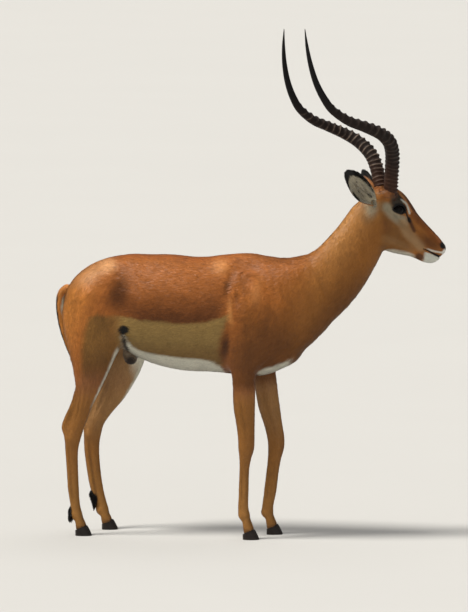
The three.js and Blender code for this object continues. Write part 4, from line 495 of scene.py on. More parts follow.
def nets(f, gx, gy, gz):
    nx, ny, nz = f.shape; s = f < 0
    cnt = np.zeros((nx - 1, ny - 1, nz - 1), np.int8)
    for i in (0, 1):
        for j in (0, 1):
            for k in (0, 1): cnt += s[i:nx - 1 + i, j:ny - 1 + j, k:nz - 1 + k]
    act = (cnt > 0) & (cnt < 8); idx = np.full(act.shape, -1, np.int64); ijk = np.argwhere(act); idx[act] = np.arange(len(ijk))
    acc = np.zeros((len(ijk), 3)); w = np.zeros(len(ijk))
    corner = [(i, j, k) for i in (0, 1) for j in (0, 1) for k in (0, 1)]
    for a in range(8):
        for b in range(a + 1, 8):
            ca, cb = np.array(corner[a]), np.array(corner[b])
            if abs(ca - cb).sum() != 1: continue
            fa, fb = f[tuple((ijk + ca).T)], f[tuple((ijk + cb).T)]
            m = (fa < 0) != (fb < 0); t = np.where(m, fa / np.where(m, fa - fb, 1), 0)
            acc += np.where(m[:, None], ca + t[:, None] * (cb - ca), 0); w += m
    U = ijk + acc / w[:, None]
    V = np.stack([np.interp(U[:, c], np.arange(len(g)), g) for c, g in enumerate((gx, gy, gz))], 1)
    quads = []
    for ax in range(3):
        sl = [slice(None)] * 3; sl2 = [slice(None)] * 3; sl[ax] = slice(0, -1); sl2[ax] = slice(1, None)
        A, Bq = s[tuple(sl)], s[tuple(sl2)]; e = np.argwhere(A != Bq)
        b, c = (ax + 1) % 3, (ax + 2) % 3
        e = e[(e[:, b] > 0) & (e[:, c] > 0) & (e[:, b] < f.shape[b] - 1) & (e[:, c] < f.shape[c] - 1)]
        ub = np.zeros(3, int); ub[b] = 1; uc = np.zeros(3, int); uc[c] = 1
        q = np.stack([idx[tuple((e - ub - uc).T)], idx[tuple((e - uc).T)], idx[tuple(e.T)], idx[tuple((e - ub).T)]], 1)
        fl = A[tuple(e.T)]; q[~fl] = q[~fl][:, ::-1]; quads.append(q)
    return V, np.concatenate(quads)
def biggest(V, Q):
    """keeps the one connected body"""
    lab = np.arange(len(V))
    while True:
        m = lab[Q].min(1)
        new = lab.copy(); np.minimum.at(new, Q.ravel(), np.repeat(m, 4)); new = new[new]
        if (new == lab).all(): break
        lab = new
    ids, n = np.unique(lab, return_counts=True); keep = lab == ids[n.argmax()]
    mp = np.cumsum(keep) - 1
    return V[keep], mp[Q[keep[Q[:, 0]]]]
def quad_normals(V, Q):
    n = np.cross(V[Q[:, 2]] - V[Q[:, 0]], V[Q[:, 3]] - V[Q[:, 1]])
    N = np.zeros_like(V)
    for c in range(4):
        for a in range(3): N[:, a] += np.bincount(Q[:, c], n[:, a], len(V))
    return unit(N), np.linalg.norm(n, axis=1) / 2
def relax(V, Q, times, w):
    E = np.concatenate([Q[:, [0, 1]], Q[:, [1, 2]], Q[:, [2, 3]], Q[:, [3, 0]]])
    E = np.concatenate([E, E[:, ::-1]]); deg = np.bincount(E[:, 0], minlength=len(V))
    for _ in range(times):
        for k in w:
            S = np.stack([np.bincount(E[:, 0], V[E[:, 1], c], len(V)) for c in range(3)], 1) / deg[:, None]
            V = V + k * (S - V)
    return V
def project(V, N, times=1):
    for _ in range(times):
        f0 = field(V)
        h = 0.4
        g = np.stack([field(V + np.eye(3)[c] * h) for c in range(3)], 1); g = (g - f0[:, None]) / h
        gg = np.maximum((g * g).sum(1), 0.25)
        step = np.clip(f0 / gg, -2.5, 2.5)
        V = V - g * step[:, None]
    return V

# ------------------------------------------------------------------ markings
def srgb(r, g, b):
    c = np.array([r, g, b]) / 255.0
    return np.where(c <= 0.04045, c / 12.92, ((c + 0.055) / 1.055) ** 2.4)
SADDLE, SPINE, SHOULDER, NECKC = srgb(170, 100, 42), srgb(170, 92, 40), srgb(154, 92, 36), srgb(163, 104, 43)
RUMP, FLANK, WHITE, THIGH = srgb(194, 124, 56), srgb(152, 123, 70), srgb(226, 222, 204), srgb(134, 94, 44)
LEG, LOWLEG, BLACK, GREY = srgb(156, 104, 48), srgb(166, 116, 58), srgb(14, 11, 10), srgb(150, 144, 124)
FACE, NOSEB, CHEEK, DARKB, PALE = srgb(166, 104, 44), srgb(140, 80, 30), srgb(140, 92, 40), srgb(74, 46, 28), srgb(190, 164, 118)
VIEW_A, VIEW_E, MM = math.radians(12), math.radians(6), 3.15
def plan(P):
    """coordinates (u across, v down, 3.15 mm each) on a side elevation of the animal"""
    x, y, z = P[..., 0], P[..., 1], P[..., 2]
    r = x * math.cos(VIEW_A) + y * math.sin(VIEW_A)
    d = -x * math.sin(VIEW_A) + y * math.cos(VIEW_A)
    return 251 + r / MM, 537 - (z * math.cos(VIEW_E) + d * math.sin(VIEW_E)) / MM
def value_noise(P, scale, seed, octaves=3):
    """smooth noise in -1..1 on points in mm"""
    out = np.zeros(len(P)); amp = 1.0; tot = 0
    for o in range(octaves):
        Q = P / scale + seed * 17.31 + o * 5.7
        i = np.floor(Q).astype(np.int64); f = Q - i; f = f * f * (3 - 2 * f)
        acc = np.zeros(len(P))
        for a in (0, 1):
            for b in (0, 1):
                for c in (0, 1):
                    h = (i[:, 0] + a) * 374761393 + (i[:, 1] + b) * 668265263 + (i[:, 2] + c) * 2147483647 + seed * 1013904223
                    h = (h ^ (h >> 13)) * 1274126177; h = (h ^ (h >> 16)) & 0xffff
                    w = np.where(a, f[:, 0], 1 - f[:, 0]) * np.where(b, f[:, 1], 1 - f[:, 1]) * np.where(c, f[:, 2], 1 - f[:, 2])
                    acc += w * (h / 32767.5 - 1)
        out += amp * acc; tot += amp; amp *= 0.5; scale *= 0.5
    return out / tot
def lay(col, new, w): return col + (new - col) * w[:, None]
def blob(u, v, cu, cv, ru, rv, ang=0.0, soft=0.35):
    a = math.radians(ang); x, y = (u - cu) * math.cos(a) + (v - cv) * math.sin(a), -(u - cu) * math.sin(a) + (v - cv) * math.cos(a)
    r = np.sqrt((x / ru) ** 2 + (y / rv) ** 2)
    return 1 - ss(r, 1 - soft, 1 + soft)
def band(u, v, pts, half, soft):
    """1 on a line through pts [(u, v)...] of a half width"""
    d = polyline_d(u, v, np.array(pts, float))
    return 1 - ss(d, half - soft / 2, half + soft / 2)
def line(u, pts): p = np.array(pts, float); return np.interp(u, p[:, 0], p[:, 1])
def coat_color(P, Nrm):
    N = to_neck(P); H = to_head(P); xn = N[:, 0]
    wh = ss(xn, 388, 424)
    M = N.copy(); M[:, 1] = -np.abs(M[:, 1]); u, v = plan(from_neck(M))
    Mh = H.copy(); Mh[:, 1] = -np.abs(Mh[:, 1]); uh, vh = plan(from_head(Mh))
    n1, n2 = value_noise(P, 38, 3), value_noise(P, 12, 5)
    j = 1.3 * n1 + 0.9 * n2
    x, y, z = P[:, 0], P[:, 1], P[:, 2]; ay = np.abs(N[:, 1])
    nz, nx = Nrm[:, 2], Nrm[:, 0]
    inn = -Nrm[:, 1] * np.sign(y)                       # 1 where the surface faces the middle plane
    # back, shoulder, rump, neck
    b1 = line(u, [(60, 336), (80, 316), (97, 312.5), (115, 315), (132, 317), (144, 320), (165, 321), (177, 323), (190, 322.5), (208, 321), (225, 316), (234, 312)]) + j
    col = np.repeat(SADDLE[None], len(P), 0)
    # painted shade: the lower part of the saddle, above the fawn flank, is painted darker
    col = lay(col, srgb(84, 44, 14), ss(v - b1, -46, -3) * ss(u, 112, 140) * (1 - ss(u, 214, 236)) * 0.85)
    col = lay(col, SHOULDER, ss(u, 224, 262) * 0.85)
    col = lay(col, NECKC, ss(u + 0.25 * (v - 290), 268, 330))
    # painted shade: the lower neck and shoulder are painted darker below a line
    col = lay(col, srgb(104, 62, 22), ss(v - line(u, [(225, 285), (260, 300), (300, 318), (340, 272), (360, 262)]), -8, 36) * ss(u, 232, 252) * 0.80)
    # painted light: surfaces of the withers, shoulder and neck that face upwards are painted lighter
    col = lay(col, srgb(184, 108, 48), ss(nz, 0.15, 0.75) * ss(u, 214, 240) * 0.6)
    col = lay(col, RUMP, (1 - ss(u + 0.35 * (v - 290), 72, 112)) * 0.9)
    col = lay(col, SPINE, ss(nz, 0.80, 0.98) * (1 - ss(u, 215, 262)) * ss(u, 80, 110) * 0.55)
    # painted shade in the hollow before the hip
    col = lay(col, srgb(98, 54, 22), blob(u, v, 121, 290, 9.0, 15, 10, 0.9) * 0.5)
    col = lay(col, srgb(98, 54, 22), blob(u, v, 124, 303, 9, 12, -12, 0.9) * 0.5)
    # painted highlights on the point of the hip and on the croup
    col = lay(col, srgb(214, 156, 104), blob(u, v, 109.5, 265, 8, 7, 0, 0.8) * 0.85)
    col = lay(col, srgb(214, 156, 104), blob(u, v, 93, 272, 17, 6.5, -32, 0.8) * 0.65)
    # painted highlights on the top of the shoulder blade and on the middle of the shoulder
    col = lay(col, srgb(200, 134, 76), np.maximum(blob(u, v, 222, 267, 8, 7, 0, 0.8), blob(u, v, 258, 290, 5, 12, 14, 0.8) * 0.6) * 0.75)
    # painted shade in the crease behind the shoulder
    col = lay(col, srgb(104, 60, 26), blob(u, v, 228.5, 287, 3.2, 8, 10, 0.7) * 0.65)
    # fawn flank and its edge against the saddle
    fr = line(v, [(310, 233), (322, 229), (335, 223.5), (350, 221), (362, 225)]) + 1.2 * n2
    flank = ss(v - b1, -1.5, 2.2) * (1 - ss(u - fr, -5.5, 3.5)) * ss(u, 100, 128)
    # painted shade: the fawn flank is painted darker towards the belly
    fl = lay(np.repeat(FLANK[None], len(P), 0), srgb(124, 92, 50), ss(v, 336, 358) * 0.7)
    col = lay(col, fl, flank * 0.96)
    thigh = ss(v - b1, -1.5, 3.5) * (1 - ss(u, 106, 130)) * ss(u - line(v, [(310, 91), (330, 84), (348, 81), (372, 80)]), -4, 5)
    # painted shade: the thigh is painted darker towards its lower part
    col = lay(col, lay(np.repeat(THIGH[None], len(P), 0), srgb(108, 68, 30), ss(v, 340, 385)), thigh)
    # upper foreleg and chest, with painted shade low on the shoulder and chest, a painted highlight on the ridge behind
    # the shoulder and painted shade by the elbow
    col = lay(col, srgb(114, 68, 28), ss(v, 316, 350) * ss(u, 222, 236) * (1 - ss(u, 275, 300)) * 0.8)
    # painted highlight on the ridge at the back of the shoulder
    col = lay(col, srgb(176, 118, 62), blob(u, v, 231.8, 312, 2.6, 13, -3, 0.7) * 0.7)
    # painted shade in the hollow by the elbow
    col = lay(col, srgb(88, 52, 26), blob(u, v, 226.5, 347, 3.6, 11, 6, 0.6) * 0.75)
    # white underside
    b2 = line(u, [(118, 331), (127, 334), (130, 341), (134, 346.5), (140, 350), (152, 353.6), (165, 355.4), (184, 357.6), (202, 359), (215, 361), (225, 367), (232, 372), (240, 380)]) + 0.6 * j
    white = ss(v - b2, -1.2, 2.0) * ss(z, 440, 480) * ss(u, 120, 129) * (1 - ss(x, -40, -5))
    armpit = (np.abs(x + 5) < 62) & (z < 560)
    white = np.where(armpit, white * (1 - ss(-inn, -0.2, 0.25)), white)
    bf = line(u, [(240, 372), (254, 361.5), (262, 361.0), (270, 362.0), (278, 362), (286, 359.2), (293, 355), (300, 352.5), (306, 352)]) + 0.4 * j
    brisk = ss(v - bf, -0.9, 1.5) * ss(x, 34, 46) * ss(z, 488, 506)
    brisk = brisk * (1 - ss(ay + 5 * n2 + 0.16 * (x - 60), np.where((y > 0) & (x < 100), 34, 50), np.where((y > 0) & (x < 100), 46, 66))) * (1 - ss(nx, 0.45, 0.85)) * (1 - ss(x + 6 * n1, 128, 150))
    white = np.clip(np.maximum(white, brisk), 0, 1)
    col = lay(col, WHITE, white)
    # legs: z below the trunk, or outside of the thigh
    leg = 1 - ss(z, 470, 545)
    hind = x < -250
    lc = np.repeat(LEG[None], len(P), 0)
    lc = lay(lc, srgb(170, 110, 68), ss(z, 420, 520))
    lc = lay(lc, LOWLEG, 1 - ss(z, 90, 300))
    col = lay(col, lc, np.where(hind, 1 - ss(z, 430, 560), 1 - ss(z, 455, 505)) * (1 - np.clip(white, 0, 1) * (z > 480)))
    win = ss(inn + 0.30 * nx, 0.05, 0.5) * hind * (1 - ss(z, 660, 700)) * (1 - ss(-nx, 0.45, 0.8))
    col = lay(col, srgb(170, 132, 88), win * ss(z, 240, 400) * 0.6)
    col = lay(col, WHITE, win * ss(z, 500, 560) * ss(x, -408, -372) * 0.9)
    edge = ss(nx + 0.10 * n2 + 0.16 * ss(z, 520, 640), 0.60, 0.86) * ss(inn + 0.08 * n2, -0.66, -0.35) * ss(z, 400, 450) * (1 - ss(z, 655, 690)) * hind * (x > -520) * (np.abs(y) < 120)
    col = lay(col, WHITE, edge * 0.95)
    winf = ss(inn + 0.15 * nx, 0.15, 0.6) * (1 - ss(z, 470, 520)) * ss(z, 240, 420) * (~hind)
    col = lay(col, srgb(176, 138, 94), winf * 0.45)
    # darker line down the front of the forelegs and at the knees, darker band just above the claws
    col = lay(col, srgb(112, 70, 36), bell(z, 275, 30) * ss(nx, 0.2, 0.8) * (~hind) * 0.35 * (z < 400))
    col = lay(col, srgb(70, 50, 40), (1 - ss(z, 26, 46)) * 0.45)
    # black spot at the fold of the flank, with its streak
    side = ss(ay, 30, 60) * (z > 500) * (x < -250)
    # painted shade: brownish darkening of the skin between the thigh and the belly, below the black spot
    col = lay(col, srgb(112, 84, 50), blob(u, v, 125.5, 345, 4.0, 9, 14, 0.5) * ss(ay, 20, 40) * (z > 500) * (x < -330) * 0.8)
    sp = blob(u, v, 125.8, 330.0, 5.4, 4.7, 0, 0.2)
    st = band(u, v, [(124.4, 334), (125.4, 339), (128.0, 346), (130.4, 352)], 1.5, 1.2)
    col = lay(col, BLACK, np.clip(np.maximum(sp, st * 0.95), 0, 1) * np.maximum(side, ss(ay, 12, 30) * (z > 480) * (x < -330)))
    # scrotum
    sc = ((x - SCROTUM[0]) / 30) ** 2 + (y / 29) ** 2 + ((z - SCROTUM[1] - 2) / 40) ** 2
    # upper part of the scrotum: its own brown skin, darkened further as painted shade between the thighs
    col = lay(col, srgb(92, 66, 38), (1 - ss(np.sqrt(sc), 0.85, 1.15)) * ss(-nz, -0.6, 0.2) * 0.9)
    sc = ((x - SCROTUM[0] - 4) / 17) ** 2 + (y / 24) ** 2 + ((z - SCROTUM[1] + 14) / 23) ** 2
    col = lay(col, srgb(34, 23, 18), (1 - ss(np.sqrt(sc), 0.85, 1.15)) * ss(-nz, -0.6, 0.2) * 0.97)
    # haunches: white by the tail, between two dark stripes
    tz = ss(z, 560, 620) * (1 - ss(z, 770, 810)) * ss(-nx, 0.15, 0.55) * (x < -520)
    wy = line(z, [(560, 34), (640, 42), (690, 33), (735, 18), (790, 8)]) + 1.5 * n2
    col = lay(col, WHITE, (1 - ss(np.abs(y), wy - 5, wy + 4)) * tz)
    col = lay(col, BLACK, bell(np.abs(y), wy + 9, 6.5) * ss(z, 575, 625) * (1 - ss(z, 725, 765)) * ss(-nx, 0.1, 0.45) * (x < -520) * 0.97)
    # tail: dark along the top, white under
    t = CH["tail"].dist(P); on = (1 - ss(t, 1.0, 7.0)) * (x < -545) * (z > 545) * (z < 800)
    tail_c = lay(np.repeat(RUMP[None], len(P), 0), WHITE, ss(nx, 0.35, 0.75))
    tail_c = lay(tail_c, BLACK, ss(-nx, 0.42, 0.66))
    tail_c = lay(tail_c, RUMP, ss(z, 745, 775))
    col = lay(col, tail_c, on)
    # glands above the hind feet
    for c, r in GLANDS:
        g = np.sqrt(((x - c[0]) / r[0]) ** 2 + ((y - c[1]) / r[1]) ** 2 + ((z - c[2]) / r[2]) ** 2)
        col = lay(col, BLACK, (1 - ss(g, 0.9, 1.25)))
    # neck: warmer and paler on top as painted light from above, pale throat line
    nk = ss(xn, 60, 150)
    col = lay(col, srgb(206, 148, 84), ss(nz, -0.05, 0.55) * nk * ss(xn, 150, 300) * 0.75)
    col = lay(col, srgb(146, 118, 84), blob(u, v, 366, 211, 9, 10, -10, 0.6) * ss(xn, 300, 380) * 0.7)
    col = lay(col, PALE, nk * ss(-nz, 0.55, 0.98) * ss(xn, 290, 400) * 0.8)
    # ---------------------------------------------------------------- head
    jh = 0.35 * n2 + 0.3 * value_noise(P, 5, 8)
    hc = np.repeat(FACE[None], len(P), 0)
    ayh = np.abs(H[:, 1]); inner = ss(ayh, 9, 17)
    hc = lay(hc, NECKC, 1 - ss(uh, 372, 386))
    top = line(uh, [(370, 196), (386, 191), (396, 190), (402, 192), (406.6, 199), (410, 206.5), (415, 211), (423.4, 218.7), (431.5, 228), (436, 232.3), (441, 237.7), (447, 245)])
    below = vh - top                                      # px under the line of the forehead and nose
    hc = lay(hc, CHEEK, ss(below, 12, 24) * (1 - ss(uh, 404, 416)))
    hc = lay(hc, srgb(128, 78, 38), blob(uh, vh, 381, 226, 9, 8, 10, 0.8) * 0.7)
    hc = lay(hc, NOSEB, ss(uh, 400, 410) * (1 - ss(below, 7.0, 13.0)) * 0.95)
    hc = lay(hc, srgb(92, 48, 22), ss(uh, 404, 410) * (1 - ss(below, 0.8, 3.4)) * (1 - ss(uh, 434, 440)) * 0.75)
    hc = lay(hc, srgb(168, 104, 52), blob(uh, vh, 386, 191.5, 10, 6, 12, 0.6) * 0.7)
    streak = value_noise(np.stack([H[:, 0] * 1.0, H[:, 1] * 1.0, H[:, 2] * 0.25], 1), 5.5, 31, 2)
    hc = lay(hc, srgb(92, 56, 30), ss(streak, 0.05, 0.45) * blob(uh, vh, 384.5, 192.5, 8, 6.5, 12, 0.5) * 0.75)
    # grey from the root of the ear to the eye, light band under the eye and down to the muzzle
    hc = lay(hc, srgb(136, 122, 92), band(uh, vh, [(364, 205), (372, 206), (380, 205.5), (389, 207)], 4.0, 6.0) * 0.85)
    hc = lay(hc, srgb(176, 164, 138), band(uh, vh, [(387, 208), (393, 215), (399, 220), (404, 222)], 4.4, 6.0) * 0.85)
    hc = lay(hc, srgb(176, 140, 98), band(uh, vh, [(403, 224), (408, 233), (415, 240.5), (421, 246.5)], 4.8, 6.0) * 0.85)
    hc = lay(hc, srgb(160, 118, 72), band(uh, vh, [(384, 238), (398, 243), (412, 249)], 3.5, 5.0) * 0.55)
    hc = lay(hc, srgb(160, 150, 128), band(uh, vh, [(396, 216.8), (403.5, 218.2)], 1.6, 2.4) * 0.6)
    # dark grey patch over the eye, white arc before it
    hc = lay(hc, srgb(50, 46, 38), blob(uh, vh, 397.8, 201.2, 7.4, 8.0, -16, 0.40) * 0.97 * inner)
    hc = lay(hc, srgb(206, 140, 84), band(uh, vh, [(400.4, 194.4), (404.6, 199.5), (408.6, 206), (411.6, 212)], 0.9, 1.4) * 0.7 * inner)
    # painted highlight: small bright orange spot on the brow
    hc = lay(hc, srgb(206, 140, 84), blob(uh, vh, 388.6, 196.4, 1.0, 2.0, 0, 0.4) * 0.6)
    hc = lay(hc, srgb(214, 212, 198), band(uh, vh, [(402.2, 200.4), (406.2, 204.0), (408.5, 208.6), (409.9, 213.6)], 0.85, 1.0) * inner * 0.95)
    # dark gland before the eye
    hc = lay(hc, srgb(78, 46, 26), band(uh, vh, [(409.5, 219), (412.2, 226), (414.6, 231)], 1.7, 2.2) * 0.85 * inner)
    hc = lay(hc, srgb(14, 11, 10), band(uh, vh, [(406.2, 212.6), (407.6, 216.4), (409.0, 219)], 0.95, 0.9) * 0.96 * inner)
    hc = lay(hc, srgb(14, 11, 10), blob(uh, vh, 409.5, 220.3, 1.75, 3.1, -22, 0.25) * 0.97 * inner)
    # muzzle
    hc = lay(hc, srgb(92, 50, 20), blob(uh, vh, 430.5, 243.2, 11.0, 5.2, 36, 0.8) * 0.75)
    hc = lay(hc, srgb(156, 92, 46), ss(uh, 433, 440) * (1 - ss(below, 3, 9)) * 0.7)
    white_lip = band(uh, vh, [(427.0, 248.7), (431, 250.3), (436, 251.6), (441, 252.4), (444.8, 252.2)], 0.85, 0.9) * ss(uh, 425.5, 431)
    hc = lay(hc, srgb(222, 216, 202), np.clip(white_lip, 0, 1) * 0.95)
    hc = lay(hc, srgb(232, 230, 222), band(uh, vh, [(446.0, 250.2), (444.2, 252.8)], 1.9, 1.2) * 0.95)
    chin = ss(vh - line(uh, [(415, 262), (421, 256), (424.5, 251.4), (430, 252.9), (436, 255.4), (442, 258.0)]), 0.0, 0.9) * ss(uh + 0.25 * (vh - 257) + 1.2 * jh, 422.4, 426.4)
    hc = lay(hc, srgb(214, 214, 202), chin * (1 - 0.6 * ss(uh, 439.5, 442)))
    under = ss(-dir_local_z(Nrm), 0.40, 0.80) * ss(uh, 383, 389) * (1 - ss(uh, 412, 419)) * ss(vh - line(uh, [(380, 250.5), (388, 249.6), (396, 248.8), (407, 250.6), (416, 254.5)]), -0.8, 0.8)
    hc = lay(hc, srgb(214, 208, 190), under * 0.9)
    hc = lay(hc, srgb(92, 54, 28), blob(uh, vh, 420.2, 257.0, 4.2, 3.4, 24, 0.4) * 0.9)
    # mouth, nose pad, lips' dark edge
    lipd = polyline_d(H[:, 0], H[:, 2], MOUTH_P)
    # dark edge of the lips, with the crease of the mouth painted dark inside as painted shade
    hc = lay(hc, srgb(24, 18, 17), (1 - ss(lipd, line(H[:, 0], [(552, 0.8), (575, 1.5), (600, 2.6), (622, 3.2)]), line(H[:, 0], [(552, 2.0), (575, 2.8), (600, 4.2), (622, 5.2)]))) * (H[:, 0] > 552))
    pad = blob(uh, vh, 444.2, 244.8, 3.6, 4.0, 40, 0.22)
    padf = ss(H[:, 0] + 0.9 * (H[:, 2] - 911) * 0.2, 628, 632) * ss(H[:, 2], 897, 901) * (1 - ss(ayh, 19, 22))
    hc = lay(hc, srgb(18, 15, 15), np.clip(np.maximum(pad, padf), 0, 1))
    for c, r, rot, k in NOSTRILS:
        for s in (-1, 1):
            e = form_d(H, np.array([c[0], s * c[1], c[2]]), np.array(r, float), math.radians(rot))
            hc = lay(hc, srgb(14, 11, 11), 1 - ss(e, 0.4, 2.2))
    # eyelids
    for s in (-1, 1):
        c = np.array([EYE_C[0], s * EYE_C[1], EYE_C[2]]); q = (H - c) / np.array(EYE_SQ); r = np.sqrt((q * q).sum(1))
        o, e1, e2 = eye_axes(s); a, b, f = q @ e1, q @ e2, q @ o
        rim = np.sqrt((a / np.where(a > 0, 26.0, 24.0)) ** 2 + (b / np.where(b > 0, 19.5, 15.5)) ** 2)
        hc = lay(hc, srgb(13, 10, 10), (1 - ss(rim, 0.88, 1.08)) * (r < 36) * (f > 0))
    # bases of horns and ears
    hr = np.minimum(*[np.sqrt(((H[:, 0] - 438) / 27) ** 2 + ((H[:, 1] - s * 31) / 25) ** 2) for s in (-1, 1)])
    hc = lay(hc, srgb(104, 66, 40), (1 - ss(hr, 0.92, 1.06)) * (H[:, 2] > 1070) * 0.6)
    er = np.minimum(*[np.sqrt(((H[:, 0] - 374) / 15) ** 2 + ((H[:, 1] - s * 30) / 16) ** 2 + ((H[:, 2] - 1070) / 20) ** 2) for s in (-1, 1)])
    hc = lay(hc, srgb(222, 214, 200), (1 - ss(er, 0.8, 1.5)) * 0.6)
    col = lay(col, hc, wh)
    ear_root = blob(u, v, 371.0, 207.0, 6.6, 7.6, -10, 0.75) * ss(xn, 340, 372)
    col = lay(col, srgb(198, 188, 160), np.clip(ear_root * (0.85 + 0.5 * n2), 0, 1) * 0.80)
    # strands and curls of the coat over the saddle, shoulder and rump, painted as lighter and darker streaks that stand
    # in for the sheen and shade of the locks
    curl_sheen_shade = 1 - 2.2 * np.abs(value_noise(np.stack([x * 0.50 + 0.30 * z + 2.0 * n2, y * 0.55, z * 0.95 - 0.25 * x + 2.5 * n1], 1), 9.5, 41, 2))
    curl_sheen_shade = np.clip(curl_sheen_shade, -1.2, 1.0) * ss(z, 560, 640) * (1 - ss(xn, 250, 360)) * (1 - 0.75 * np.clip(white + flank, 0, 1)) * (1 - 0.5 * ss(xn, 60, 140))
    col = col * (1 + 0.17 * (curl_sheen_shade - 0.25))[:, None]
    # painted shade and light: colour darkened in the hollows of the relief and lightened on its humps
    relief_shade = np.clip(relief(P) + leg_thick(P), -4, 7)
    return np.clip(col * (1 + 0.07 * n1 + 0.07 * n2 - 0.055 * relief_shade)[:, None], 0.002, 0.95)
def dir_local_z(Nrm):
    return Nrm[:, 2]
CH = {c.name: c for c in ALL}
SCROTUM = next((f[1][0], f[1][2]) for f in FORM if f[0] == "body" and f[1][1] == 0 and tuple(f[2]) == (26.0, 24.0, 34.0))
GLANDS = [((-572, -84, 66), (15, 18, 30)), ((-532, 79, 95), (19, 21, 27))]

# ------------------------------------------------------------------ lie of the coat
DOWN = {"fore_r", "fore_l", "hind_r", "hind_l", "calc_r", "calc_l", "web_r", "web_l", "tail"}
def lie(P, Nrm):
    N, H = to_neck(P), to_head(P)
    D = np.full((len(ALL), len(P)), 1e3); W = np.zeros((len(ALL), len(P)), int)
    for i, c in enumerate(ALL): D[i], W[i] = c.dist({"body": P, "neck": N, "head": H}[c.kind], True)
    lo = D.min(0); L = np.zeros_like(P)
    for i, c in enumerate(ALL):
        w = np.exp(-np.clip((D[i] - lo) / 14.0, 0, 30)); m = w > 1e-3
        sign = 1.0 if (c.name in DOWN or c.name.startswith("dig")) else -1.0
        T = c.T[W[i][m]] * sign
        if c.kind == "neck": T = dir_from_neck(T, N[m, 0])
        if c.kind == "head": T = dir_from_head(T)
        L[m] += T * w[m, None]
    x, z = P[:, 0], P[:, 2]
    trunk = ss(z, 520, 640) * (1 - ss(x, 20, 110))
    L[:, 2] -= 0.38 * trunk * (1 - np.abs(Nrm[:, 2]))
    chest = ss(x, 60, 140) * ss(z, 520, 560) * (1 - ss(z, 800, 900)) * (1 - ss(N[:, 0], 300, 380))
    L[:, 2] -= 0.55 * chest
    L[:, 2] -= 0.30 * ss(N[:, 0], 100, 180) * (1 - ss(N[:, 0], 360, 400))
    rump = (1 - ss(x, -600, -500)) * ss(z, 560, 640)
    L[:, 2] -= 0.9 * rump
    L -= Nrm * (L * Nrm).sum(1, keepdims=True)
    return unit(L)

# ------------------------------------------------------------------ relief
# muscles and hollows on the side elevation: place, radii, tilt, mm in (+) or out (-)
RELIEF = [(120.5, 292, 9.5, 18, 10, 8.5), (108.5, 267, 8, 8, -20, -3.0), (142, 303, 13, 12, 0, -2.6), (146, 280, 3.0, 11, -40, 1.8),
          (229.5, 284, 4.0, 14, 14, 3.4), (231.6, 312, 3.0, 15, -4, -3.6), (237, 298, 2.8, 12, 5, 2.6), (226.3, 346, 4.0, 12, 8, 6.5),
          (222.5, 268, 9, 9, 0, -3.0), (241.5, 273, 9, 10, 0, 3.0), (252, 268, 9, 9, 0, 1.2), (244, 251, 15, 5, 0, -3.4), (286, 257, 20, 6, 0, 4.6), (75.5, 306, 2.8, 17, 12, 2.8),
          (87, 298, 7, 17, 18, -2.4), (102, 320, 9, 13, 0, 3.0), (86, 352, 3.5, 22, -8, 2.0), (256, 292, 8, 15, 12, -1.8),
          (247, 281, 5.5, 12, 10, 3.2), (246, 330, 3.5, 16, -10, 2.0), (270, 318, 5, 22, 14, 2.2), (180, 322, 34, 4, 0, 1.8), (98, 372, 8, 5, 0, -1.2)]
FACE_RELIEF = [(409.4, 220.4, 2.2, 4.0, -22, 2.6), (398, 200.5, 5.0, 4.5, 0, 1.2), (404, 221, 7, 2.2, 24, -0.9), (417, 229, 9, 1.8, 43, 1.1),
               (389, 222, 6.5, 7, 0, 1.0), (380, 231, 6, 10, 12, -1.2), (396, 238, 9, 3.2, 12, 1.0), (428, 243, 5, 2.6, 36, 0.8), (391, 199, 4, 3.2, 10, -0.8)]
def hump(u, v, rows):
    out = np.zeros(len(u))
    for cu, cv, ru, rv, ang, d in rows:
        a = math.radians(ang); x, y = (u - cu) * math.cos(a) + (v - cv) * math.sin(a), -(u - cu) * math.sin(a) + (v - cv) * math.cos(a)
        out += d * np.exp(-(x / ru) ** 2 - (y / rv) ** 2)
    return out
def leg_relief(P):
    """grooves between bone and tendon, and between the muscles of the forearm and shank"""
    x, y, z = P[:, 0], P[:, 1], P[:, 2]; out = np.zeros(len(P))
    for nm, front, sg in (("fore_r", 1, -1), ("fore_l", 1, 1), ("hind_r", 0, -1), ("hind_l", 0, 1)):
        m = (z < 500) & (y * sg > 0) & ((x > -250) == bool(front))
        if not m.any(): continue
        R = np.array(CHAINS[nm][2]); R = R[np.argsort(R[:, 2])]; q = z[m]
        s = (x[m] - np.interp(q, R[:, 2], R[:, 0])) / np.interp(q, R[:, 2], R[:, 3])
        side = ss(np.abs(y[m] - np.interp(q, R[:, 2], R[:, 1])) / np.interp(q, R[:, 2], R[:, 4]), 0.3, 0.7)
        if front:
            g = 1.8 * bell(s, -0.30, 0.17) * ss(q, 92, 122) * (1 - ss(q, 215, 250))
            g += 2.0 * bell(s - 0.28 + (q - 300) / 170 * 0.55, 0, 0.15) * ss(q, 305, 345) * (1 - ss(q, 430, 475))
            g -= 1.2 * bell(q, 281, 16) * ss(s, 0.1, 0.6)
        else:
            g = 1.9 * bell(s, -0.28, 0.17) * ss(q, 92, 122) * (1 - ss(q, 255, 300))
            g += 3.4 * bell(s, -0.44, 0.17) * ss(q, 350, 395) * (1 - ss(q, 455, 498))
            g += 2.0 * bell(s - 0.22 + (q - 360) / 130 * 0.30, 0, 0.14) * ss(q, 360, 400) * (1 - ss(q, 460, 498))
            g -= 1.4 * bell(q, 312, 12) * (1 - ss(s, -0.2, 0.3))
        out[m] = g * side
    return out
